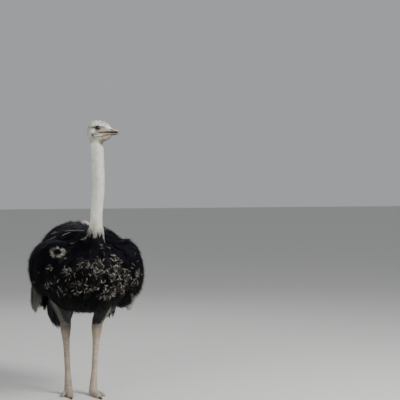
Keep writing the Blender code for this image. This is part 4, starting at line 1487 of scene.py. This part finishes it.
def plant_fringes():
    """Pale wisps on the shoulders, and long thin pale plumes that sweep back from the neck."""
    rng = np.random.default_rng(23)
    coat = Coat("pale_wisps", WHITE_PLUME, "white_plume")
    for middle, size, much, long, wide, tone in (
        ((0.000, -0.230, 1.328), (0.010, 0.045, 0.004), 34, 0.022, 0.006, ROSY_WHITE * 0.9),
        ((0.130, -0.300, 1.300), (0.045, 0.040, 0.008), 12, 0.022, 0.004, ROSY_WHITE * 0.45),
        ((0.225, -0.240, 1.250), (0.030, 0.040, 0.010), 16, 0.026, 0.005, ROSY_WHITE * 0.5),
        ((-0.235, -0.160, 1.265), (0.008, 0.015, 0.008), 5, 0.026, 0.006, ROSY_WHITE * 0.5),
    ):
        middle = np.array(middle) + [TRUNK_MIDDLE.x, 0, 0]
        roots, outs = nearest(HULL_TREE, rng.normal(middle, size, (much, 3)))
        ways = turned(lie(body_way(roots), outs), outs, rng.normal(0, 0.4, much))
        along = np.linspace(0, 1, 6)
        lines = roots[:, None] + ways[:, None] * (along * long)[:, None] * rng.uniform(0.7, 1.3, (much, 1, 1))
        lines = lines + outs[:, None] * (-0.004 + 0.012 * ramp(along, 0, 0.8))[:, None]
        tones = tone * rng.uniform(0.7, 1.15, (much, 1))
        outs = np.repeat(outs[:, None], 6, 1)
        plant_plumes(coat, lines, outs, wide, tones * 0.4, tones, 0.2, rng, pairs=12, thread=0.0011, opened=28)
    for start, end in (
        ((-0.070, -0.42, 1.275), (-0.185, -0.30, 1.268)),
        ((-0.150, -0.36, 1.245), (-0.205, -0.33, 1.228)),
        ((-0.235, -0.27, 1.215), (-0.300, -0.24, 1.190)),
        ((0.295, -0.33, 1.130), (0.318, -0.34, 1.100)),
        # the white plumes at the left wing's lower corner
        *(
            ((0.342 + 0.006 * k, -0.350, 0.780 - 0.006 * k), (0.345 + 0.003 * k, -0.300, 0.668))
            for k in range(-2, 3)
        ),
    ):
        along = np.linspace(0, 1, 8)
        level = np.array(start) + (np.array(end) - start) * along[:, None] + [TRUNK_MIDDLE.x, 0, 0]
        three = np.repeat(level[None], 3, 0).reshape(-1, 3)
        places, outs = nearest(HULL_TREE, three + rng.normal(0, 0.002, (24, 3)))
        places, outs = places.reshape(3, 8, 3), outs.reshape(3, 8, 3)
        if end[2] < 0.7:
            places[:, :, 2] = np.minimum(places[:, :, 2], level[:, 2])
        lines = places + outs * 0.008
        tones = LONG_WISP * rng.uniform(0.7, 1.1, (3, 1))
        plant_plumes(coat, lines, outs, 0.003, tones, tones, 0.5, rng, pairs=26, thread=0.0012)
    coat.make()


def plant_body():
    """The black plumes over the whole body, in clumps, one piece for each part of it."""
    rng = np.random.default_rng(4)
    roots, _ = scatter(plumage_share, PLUME_SPACING, 5)
    centres, _ = scatter(plumage_share, CLUMP_SPACING, 6)
    kin = np.array([np.argmin(((centres - root) ** 2).sum(1)) for root in roots])
    clump_turn = rng.normal(0, 0.16, len(centres))[kin]
    clump_lift = np.clip(rng.normal(0.003, 0.004, len(centres)), -0.004, 0.010)[kin]
    clump_curl = np.clip(rng.normal(0.65, 0.4, len(centres)), 0.0, 1.7)[kin]
    x, y, z = roots.T
    from_neck = from_neck_foot(roots, 0.7)
    long = 0.125 + 0.035 * ramp(abs(x), 0.20, 0.32) + 0.035 * ramp(y, 0.05, 0.35)
    long *= 0.55 + 0.45 * ramp(from_neck, 0.06, 0.30)
    long *= 1 - 0.2 * ramp(-z, -0.80, -0.68)
    long *= rng.uniform(0.85, 1.15, len(roots))
    lines, outs = over_hull(roots, long, (centres[kin], clump_turn, clump_lift), rng)
    ends = lines[:, -1]
    shade = (rng.uniform(0.6, 1.5, len(roots)) * (1 + 0.25 * drift(roots, 0.12, 31)))[:, None]
    # a painted bluish sheen on the upper plumes
    tone = mixed(BLACK, SHEEN_BLUE_BLACK, ramp(z, 0.95, 1.25)) * shade
    # painted shade: the plumes darker on top of the back and low under the belly
    tone *= 1 - 0.35 * np.maximum(ramp(z, 1.12, 1.25), ramp(-z, -0.76, -0.70))[:, None]
    brown = rng.random(len(roots)) < 0.05
    tone[brown] = BROWN_PLUME * shade[brown]
    faded = rng.random(len(roots)) < 0.10 * ramp(-z, -1.2, -1.0)
    tip = np.where(faded[:, None], FADED_END * rng.uniform(0.6, 1.4, (len(roots), 1)), tone * 1.2)
    start = np.where(faded, rng.uniform(0.50, 0.75, len(roots)), 0.8)
    worn = rng.random(len(roots)) < 0.8 * worn_share(ends)
    tip = np.where(worn[:, None], WORN_END * rng.uniform(0.2, 1.2, (len(roots), 1)), tip)
    start = np.where(worn, rng.uniform(0.55, 0.75, len(roots)), start)
    # the white of the long plumes shows at the left wing's lower corner
    corner = (ends[:, 0] > 0.330) & (ends[:, 2] < 0.770) & (ends[:, 1] < 0.15)
    tone[corner] = WHITE * rng.uniform(0.35, 0.95, (corner.sum(), 1))
    tip[corner] = tone[corner]
    wide = 0.030 + 0.008 * ramp(long, 0.10, 0.17)
    wide *= 0.65 + 0.35 * ramp(from_neck, 0.06, 0.25)
    names = (
        "wing_plumes_left", "wing_plumes_right", "rump_plumes", "belly_plumes", "breast_plumes", "back_plumes",
    )
    places = (x > 0.235, x < -0.235, y > 0.18, z < 0.86, (y < -0.32) & (z < 1.16))
    where = np.select(places, range(5), 5)
    for number, name in enumerate(names):
        on = where == number
        coat = Coat(name, BLACK_PLUME, "black_plume")
        plant_plumes(coat, lines[on], outs[on], wide[on], tone[on], tip[on], start[on], rng, pairs=15,
                     thread=0.0015, curl=clump_curl[on])
        coat.make()


def foot_share(points):
    """Where the black plumes are small, round the neck's foot."""
    from_neck = from_neck_foot(points, 0.8, 0.03)
    return plumage_share(points) * (from_neck < 0.17) * (points[:, 2] > 1.1)


def plant_collar():
    """Small black plumes round the neck's foot, and white locks that run down over them in forks."""
    rng = np.random.default_rng(14)
    roots, normals = scatter(foot_share, COLLAR_SPACING, 15)
    count = len(roots)
    tone = BLACK * rng.uniform(0.6, 1.8, (count, 1))
    below = NECK_FOOT.z + 0.065 - roots[:, 2]
    long = rng.uniform(0.022, 0.036, count) * (0.35 + 0.65 * ramp(below, 0.0, 0.05))
    coat = Coat("neck_foot_plumes", BLACK_PLUME, "black_plume")
    ways = body_way(roots) + rng.normal(0, 0.3, (count, 3))
    plant_tufts(coat, roots, normals, ways, long, 0.0016, tone, tone * 1.4, rng, rise=0.24, blades=5,
                spread=0.30)
    coat.make()
    coat = Coat("collar_down", DOWN, "neck_down")
    # how far below the neck's edge the white runs, by the way round the neck from its front
    turns = np.radians(np.linspace(-88, 70, 62)) + rng.normal(0, 0.03, 62)
    forks = ((-62, 7, 0.058), (-40, 5, 0.036), (-14, 7, 0.066), (6, 5, 0.030), (30, 7, 0.080), (52, 6, 0.034))
    reaches = sum(much * band(np.degrees(turns) - at, wide) for at, wide, much in forks)
    reaches = 0.016 + reaches * rng.uniform(0.30, 1.2, 62)
    for turn, reach in zip(turns, reaches):
        much = int(12 + 780 * reach)
        along = rng.random(much) ** 1.3
        height = NECK_FOOT.z + 0.098 - (0.022 + reach) * along
        way = turn + np.radians(9) * np.sin(turn) * along + rng.normal(0, 0.045, much) * (1 - 0.88 * along)
        roots, outs = [], []
        for angle, level in zip(way, height):
            out = Vector((math.sin(angle), -math.cos(angle), 0))
            start = Vector((NECK_FOOT.x, NECK_FOOT.y + 0.02, level)) + out * 0.30
            hits = [tree.ray_cast(start, -out, 0.28) for tree in (SKIN_TREE, HULL_TREE)]
            hit = min((hit for hit in hits if hit[0]), key=lambda hit: hit[3])
            roots.append(hit[0] + hit[1] * (0.001 + 0.005 * (height[0] - level > 0)))
            outs.append(hit[1])
        roots, outs = np.array(roots), np.array(outs)
        white = NECK_DOWN * rng.uniform(0.72, 1.03, (much, 1))
        white = mixed(white, LOCK_END, 0.85 * along**1.4)
        ways = np.stack([np.sin(way) * 0.35, -np.cos(way) * 0.35, np.full(much, -1.0)], 1)
        ways = ways + rng.normal(0, 0.12, (much, 3))
        plant_tufts(coat, roots, outs, ways, rng.uniform(0.010, 0.022, much), 0.0008 - 0.0003 * along, white,
                    white * 0.85, rng, rise=0.16, blades=3, spread=0.16, sag=0.14)
    coat.make()


def through_solid(name, count, rng, knots, reach, narrow, gather=0.75):
    """Lines from the top of a solid down through it, staying inside its outline.

    They end within reach, a share of its height, and keep to the narrow share of its middle.
    """
    low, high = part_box(name)
    heights = np.linspace(high.z - 0.012, low.z + 0.005, 14)
    middles, halves = cuts(name, 2, heights)
    turn, out = rng.uniform(0, 2 * np.pi, count), rng.random(count) ** 0.45 * narrow
    ends = rng.uniform(*reach, count)
    along = np.linspace(0, 1, knots)[None] * ends[:, None]
    level = heights[0] + (heights[-1] - heights[0]) * along
    lines = np.empty((count, knots, 3))
    for axis, offset in enumerate((np.cos(turn) * out, np.sin(turn) * out)):
        middle = np.interp(-level, -heights, middles[:, axis])
        half = np.maximum(np.interp(-level, -heights, halves[:, axis]) - 0.012, 0.004)
        lines[..., axis] = middle + half * offset[:, None] * (gather + (1 - gather) * ramp(along, 0, 0.3))
    lines[..., 2] = level
    middle = np.stack([*(np.interp(-level, -heights, middles[:, axis]) for axis in range(2)), level], 2)
    outs = unit(lines - middle + [0, 0, 1e-4])
    return lines, outs


def plant_coverts():
    """Black plumes that run from the rump down over the top of the tail."""
    rng = np.random.default_rng(16)
    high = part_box("tail")[1]
    heights = np.linspace(high.z - 0.012, high.z - 0.30, 8)
    middles, halves = cuts("tail", 2, heights)
    count, knots = 130, 9
    turn = rng.uniform(-np.pi, np.pi, count)
    along = np.linspace(0, 1, knots)
    starts = []
    for angle, rise in zip(turn, rng.uniform(-0.05, 0.05, count)):
        across = middles[0, 0] + halves[0, 0] * 1.15 * math.sin(angle)
        hit = HULL_TREE.ray_cast(Vector((across, high.y + 0.2, high.z + rise)), Vector((0, -1, 0)))
        starts.append(hit[0] - hit[1] * 0.010)
    starts = np.array(starts)
    ends = high.z - rng.uniform(0.09, 0.24, count)
    level = starts[:, 2:] + (ends - starts[:, 2])[:, None] * along
    middle, half = (
        np.stack([np.interp(-level, -heights, rows[:, axis]) for axis in range(2)], 2)
        for rows in (middles, halves)
    )
    round_it = np.stack([np.sin(turn), np.cos(turn)], 1)[:, None]
    lines = np.concatenate([middle + np.maximum(half - 0.004, 0.004) * round_it, level[..., None]], 2)
    lines = mixed(np.repeat(starts[:, None], knots, 1), lines, ramp(along, -0.1, 0.5) * np.ones((count, 1)))
    outs = np.repeat(unit(np.stack([np.sin(turn), np.cos(turn), np.full(count, 0.3)], 1))[:, None], knots, 1)
    tone = BLACK * rng.uniform(0.6, 1.7, (count, 1))
    coat = Coat("tail_coverts", BLACK_PLUME, "black_plume")
    plant_plumes(coat, lines, outs, 0.030, tone, tone * 1.3, 0.8, rng, pairs=18, thread=0.0016)
    # more hang below the body, beside the thighs
    for middle, size, long in (
        ((0.235, -0.02, 0.72), (0.018, 0.035, 0.004), (0.05, 0.105)),
        ((-0.268, 0.06, 0.78), (0.016, 0.040, 0.004), (0.05, 0.120)),
    ):
        count = 76
        middle = Vector(middle) + Vector((TRUNK_MIDDLE.x, 0, 0))
        roots, _ = nearest(HULL_TREE, rng.normal(middle, size, (count, 3)))
        way = np.linspace(-0.3, 1, 7) * rng.uniform(*long, (count, 1))
        lines = roots[:, None] + np.array([-0.12, 0.1, -1.0]) * way[..., None]
        outs = np.tile([0.4, -0.9, 0.1], (count, 7, 1))
        tone = BLACK * rng.uniform(0.6, 1.5, (count, 1))
        plant_plumes(coat, lines, outs, 0.024, tone, tone * 1.3, 0.8, rng, pairs=11, thread=0.0024)
    coat.make()


def plant_long_plumes():
    """The primaries that show under the wings' rear edges, and the tail."""
    rng = np.random.default_rng(12)
    # the right primaries, white like the left ones, are painted dim grey as shade
    for side, tone, reach in (("left", WHITE * 0.8, (0.62, 1.0)), ("right", SHADED_WHITE_PLUME, (0.40, 0.96))):
        lines, outs = through_solid(f"primaries_{side}", 44, rng, 9, reach=reach, narrow=0.9)
        count = len(lines)
        tones = tone * rng.uniform(0.45, 1.25, (count, 1))
        coat = Coat(f"long_primaries_{side}", WHITE_PLUME, "white_plume", [f"primaries_{side}"])
        plant_plumes(coat, lines, outs, 0.030, tones * 0.8, tones, 0.2, rng, pairs=26, thread=0.0018, curl=0.9)
        coat.make()
    lines, outs = through_solid("tail", 210, rng, 12, reach=(0.7, 1.0), narrow=0.99, gather=0.35)
    count = len(lines)
    # painted shade: the plumes that face forward, under the body, darken to near-black
    front_shade = 1 - ramp(outs[:, 5, 1], -0.3, 0.5)
    tone = mixed(TAIL_TONE, TAIL_SHADE, front_shade) * rng.uniform(0.35, 1.5, (count, 1))
    # the tips darken towards the same near-black at random
    tip = mixed(tone, TAIL_SHADE, ramp(rng.random(count), 0.0, 0.5))
    coat = Coat("tail_plumes", TAIL_PLUME, "tail_plume", ["tail"])
    widths = rng.uniform(0.026, 0.040, count)
    plant_plumes(coat, lines, outs, widths, tone, tip, 0.35, rng, pairs=46, thread=0.0024,
                 curl=rng.uniform(0.2, 1.1, count))
    # broad plumes, painted near-black as shade, fill it behind them
    lines, outs = through_solid("tail", 520, rng, 8, reach=(0.82, 1.0), narrow=0.96, gather=0.35)
    heading = unit(np.gradient(lines, axis=1))
    across = turned(np.cross(lie(outs, heading), heading), heading, rng.normal(0, 0.5, (520, 1)))
    halves = np.interp(np.linspace(0, 1, 8), [0, 0.2, 0.85, 1], [0.005, 0.008, 0.007, 0.0])
    halves = halves * np.ones((520, 1, 1))
    tones = np.tile(TAIL_SHADE * 0.7, (520, 1, 8, 1))
    coat.add(lines[:, None], across[:, None], halves, tones, lines[:, 0], outs[:, 4])
    coat.make()


def neck_top(points):
    """The height where the neck's down gives way to the head's, lower in front."""
    return HEAD_PLACE.z - 0.078 - 0.034 * ramp(in_head(points)[:, 1], -0.012, 0.020)


def neck_share(points):
    """1 where the neck has down."""
    height = points[:, 2]
    return ((height > 1.15) & (plumage_share(points) < 0.6) & (height < neck_top(points))).astype(float)


def head_share(points):
    """Where the head has down: not on the bill, lips, lids or in the mouth and ears."""
    _, ahead, up = in_head(points).T
    share = (points[:, 2] > HEAD_PLACE.z - 0.112) * (1 - ramp(ahead - 0.018 * (up > 0), 0.06, 0.085))
    off_lids = np.hypot(ahead / 0.0245, (up - EYE_UP) / 0.0205) > 1
    off_ear = np.hypot((ahead - EAR[0]) / 0.005, (up - EAR[1]) / 0.006) > 1
    on_lips = (abs(up - gape_height(ahead)) < 0.010) & (ahead > -0.004)
    return share * off_lids * off_ear * (1 - on_lips)


def plant_down():
    """The down of the neck and head, and the bristles round the ears."""
    rng = np.random.default_rng(9)
    roots, normals = scatter(neck_share, NECK_SPACING, 41)
    count = len(roots)
    low = 1 - ramp(roots[:, 2], NECK_FOOT.z, NECK_FOOT.z + 0.16)
    ways = np.tile([0.0, 0.06, -1.0], (count, 1)) + 0.25 * rng.normal(size=(count, 3)) * [1, 1, 0]
    ways += 0.3 * drift(roots, 0.05, 3)[:, None] * np.cross(normals, [0, 0, 1.0])
    # the down takes the skin's tone, the painted light on the neck's right side included
    tone = skin_tone(roots + normals * 0.001)
    shy = ramp(roots[:, 2] - neck_top(roots), -0.045, 0.0)
    tone *= (1 + 0.10 * drift(roots, 0.035, 7) + rng.normal(0, 0.05, count))[:, None]
    coat = Coat("neck_down", DOWN, "neck_down")
    long = (0.014 + 0.010 * low - 0.007 * shy) * rng.uniform(0.8, 1.25, count)
    widths = 0.0008 - 0.0003 * shy
    plant_tufts(coat, roots, normals, ways, long, widths, tone * 0.9, tone * 1.06, rng, rise=0.30, spread=0.35)
    coat.make()

    roots, normals = scatter(head_share, HEAD_SPACING, 43)
    count = len(roots)
    _, ahead, up = in_head(roots).T
    crown = ramp(up + 0.3 * np.clip(-ahead, 0, 0.1), 0.008, 0.03) * (1 - ramp(ahead, 0.045, 0.08))
    nape = ramp(-ahead, 0.02, 0.05)
    ways = HEAD_AXES[1] * -1.0 + HEAD_AXES[2] * (-0.35 - 0.5 * (1 - np.maximum(crown, 0)))[:, None]
    ways = ways + 0.18 * rng.normal(size=(count, 3))
    forehead = spot(ahead - up, ahead + up, (0.050, 0.082), (0.048, 0.032)) * (up > 0.002)
    long = 0.0045 + 0.0055 * crown + 0.003 * nape
    long *= 1 - 0.55 * ramp(ahead, 0.03, 0.08)
    long += 0.0065 * forehead
    # the head's down takes the skin's tone, its painted light and shade included
    tone = skin_tone(roots)
    tone *= (1 + 0.10 * drift(roots, 0.02, 17) + rng.normal(0, 0.06, count))[:, None]
    coat = Coat("head_down", DOWN, "neck_down")
    long *= rng.uniform(0.75, 1.3, count)
    widths = 0.0004 + 0.0002 * np.maximum(crown, nape)
    rise = (0.30 + 0.55 * forehead)[:, None]
    plant_tufts(coat, roots, normals, ways, long, widths, tone * 0.9, tone * 1.04, rng, rise=rise)
    # bristles round the ears
    turns = rng.uniform(0, 2 * np.pi, (len(SIDES), 70))
    ear_roots = []
    for sign, turn in zip(SIDES.values(), turns):
        for angle in turn:
            ahead, up = EAR[0] + 0.0066 * math.cos(angle), EAR[1] + 0.0082 * math.sin(angle)
            ear_roots.append(from_head([sign * skin_side(ahead, up, sign), ahead, up]))
    ear_roots, ear_normals = nearest(SKIN_TREE, ear_roots)
    count = len(ear_roots)
    tone = BRISTLE * rng.uniform(0.7, 1.2, (count, 1))
    ways = HEAD_AXES[1] * -1.0 + HEAD_AXES[2] * -0.3 + 0.2 * rng.normal(size=(count, 3))
    long = rng.uniform(0.006, 0.011, count)
    plant_tufts(coat, ear_roots, ear_normals, ways, long, 0.0005, tone, tone * 1.1, rng, rise=0.6)
    coat.make()


def plant_lashes():
    """Stiff dark lashes along the upper lids."""
    rng = np.random.default_rng(15)
    coat = Coat("lashes", LASH, "neck_down")
    for side, sign in SIDES.items():
        turns = np.radians(np.linspace(14, 168, 30)) + rng.normal(0, 0.03, 30)
        roots = lid_place(side, turns, np.full(30, 0.03))
        spread = np.stack([np.full(30, 0.75 * sign), np.cos(turns) * 0.9, 0.15 + 0.35 * np.sin(turns)], 1)
        ways = unit(spread @ HEAD_AXES)
        long = 0.009 + 0.005 * np.sin(turns) * rng.uniform(0.8, 1.2, 30)
        steps = np.stack([ways + np.array(HEAD_UP) * bend for bend in (-0.25, 0.0, 0.35)], 1)
        spines = np.concatenate([np.zeros((30, 1, 3)), np.cumsum(unit(steps), axis=1)], 1)
        spines = roots[:, None] + spines * (long / 3)[:, None, None]
        sides = unit(np.cross(ways, np.array(HEAD_UP)))
        tones = np.tile(LASH_TONE, (30, 1, 4, 1))
        halves = np.tile([0.00042, 0.0004, 0.0003, 0.0], (30, 1, 1))
        outs = np.tile(np.array(HEAD_SIDE) * sign, (30, 1))
        coat.add(spines[:, None], np.repeat(sides[:, None, None], 4, 2), halves, tones, roots, outs)
    coat.make()


BLACK_PLUME = finish("black plume", 0.5, mottle=0.15, mottle_scale=30.0, Specular_IOR_Level=0.05)
WHITE_PLUME = finish("white plume", 0.7, mottle=0.06, mottle_scale=25.0, Sheen_Weight=0.2)
TAIL_PLUME = finish("tail plume", 0.7, mottle=0.15, mottle_scale=25.0, Sheen_Weight=0.15)
DOWN = finish("down", 0.8, mottle=0.08, mottle_scale=80.0, Sheen_Weight=0.2)
LASH = finish("lash", 0.4, mottle=0.05)

plant_body()
plant_worn_tips()
plant_fringes()
plant_collar()
plant_coverts()
plant_long_plumes()
plant_down()
plant_lashes()


# ---------------------------------------------------------------- floor, light and camera


def stage_material():
    """Plain pale matt."""
    made = bpy.data.materials.new("floor")
    made.use_nodes = True
    shader = made.node_tree.nodes["Principled BSDF"]
    shader.inputs["Base Color"].default_value = (0.62, 0.62, 0.60, 1)
    shader.inputs["Roughness"].default_value = 0.9
    return made


def make_stage():
    """A plain floor that reaches far past the bird."""
    floor = bmesh.new()
    bmesh.ops.create_grid(floor, x_segments=1, y_segments=1, size=FLOOR_HALF)
    piece = add_piece("floor", floor, stage_material(), smooth=False)


def make_light():
    """Soft light from a pale room, a large lamp high before the bird's left side, and two weaker ones."""
    world = bpy.data.worlds.new("studio")
    bpy.context.scene.world = world
    world.use_nodes = True
    background = world.node_tree.nodes["Background"]
    background.inputs["Color"].default_value = (0.86, 0.88, 0.90, 1)
    background.inputs["Strength"].default_value = 0.44
    for name, place, size, power in (
        ("key", (3.2, -4.4, 4.8), 2.6, 520),
        ("fill", (-4.2, -3.4, 3.0), 3.5, 90),
        ("back", (0.5, 4.5, 4.2), 3.0, 60),
    ):
        lamp = bpy.data.lights.new(name, "AREA")
        lamp.size = size
        lamp.energy = power
        lit = bpy.data.objects.new(name, lamp)
        bpy.context.scene.collection.objects.link(lit)
        lit.location = place
        lit.rotation_euler = (Vector((0, 0, 1.1)) - Vector(place)).to_track_quat("-Z", "Y").to_euler()


def make_camera():
    """The camera looks past the bird, so that it stands at the left of the view."""
    foot = Vector((TRUNK_MIDDLE.x, TRUNK_MIDDLE.y, 0))
    back = Vector((math.sin(CAMERA_AZIMUTH), -math.cos(CAMERA_AZIMUTH), 0))
    look = Matrix.Rotation(CAMERA_PAN, 3, "Z") @ -back
    look = look * math.cos(CAMERA_TILT) + Vector((0, 0, math.sin(CAMERA_TILT)))
    data = bpy.data.cameras.new("camera")
    data.sensor_width = CAMERA_SENSOR
    data.lens = CAMERA_LENS
    camera = bpy.data.objects.new("camera", data)
    bpy.context.scene.collection.objects.link(camera)
    camera.location = foot + back * CAMERA_DISTANCE + Vector((0, 0, CAMERA_HEIGHT))
    camera.rotation_euler = look.to_track_quat("-Z", "Y").to_euler()
    bpy.context.scene.camera = camera


make_stage()
make_light()
make_camera()
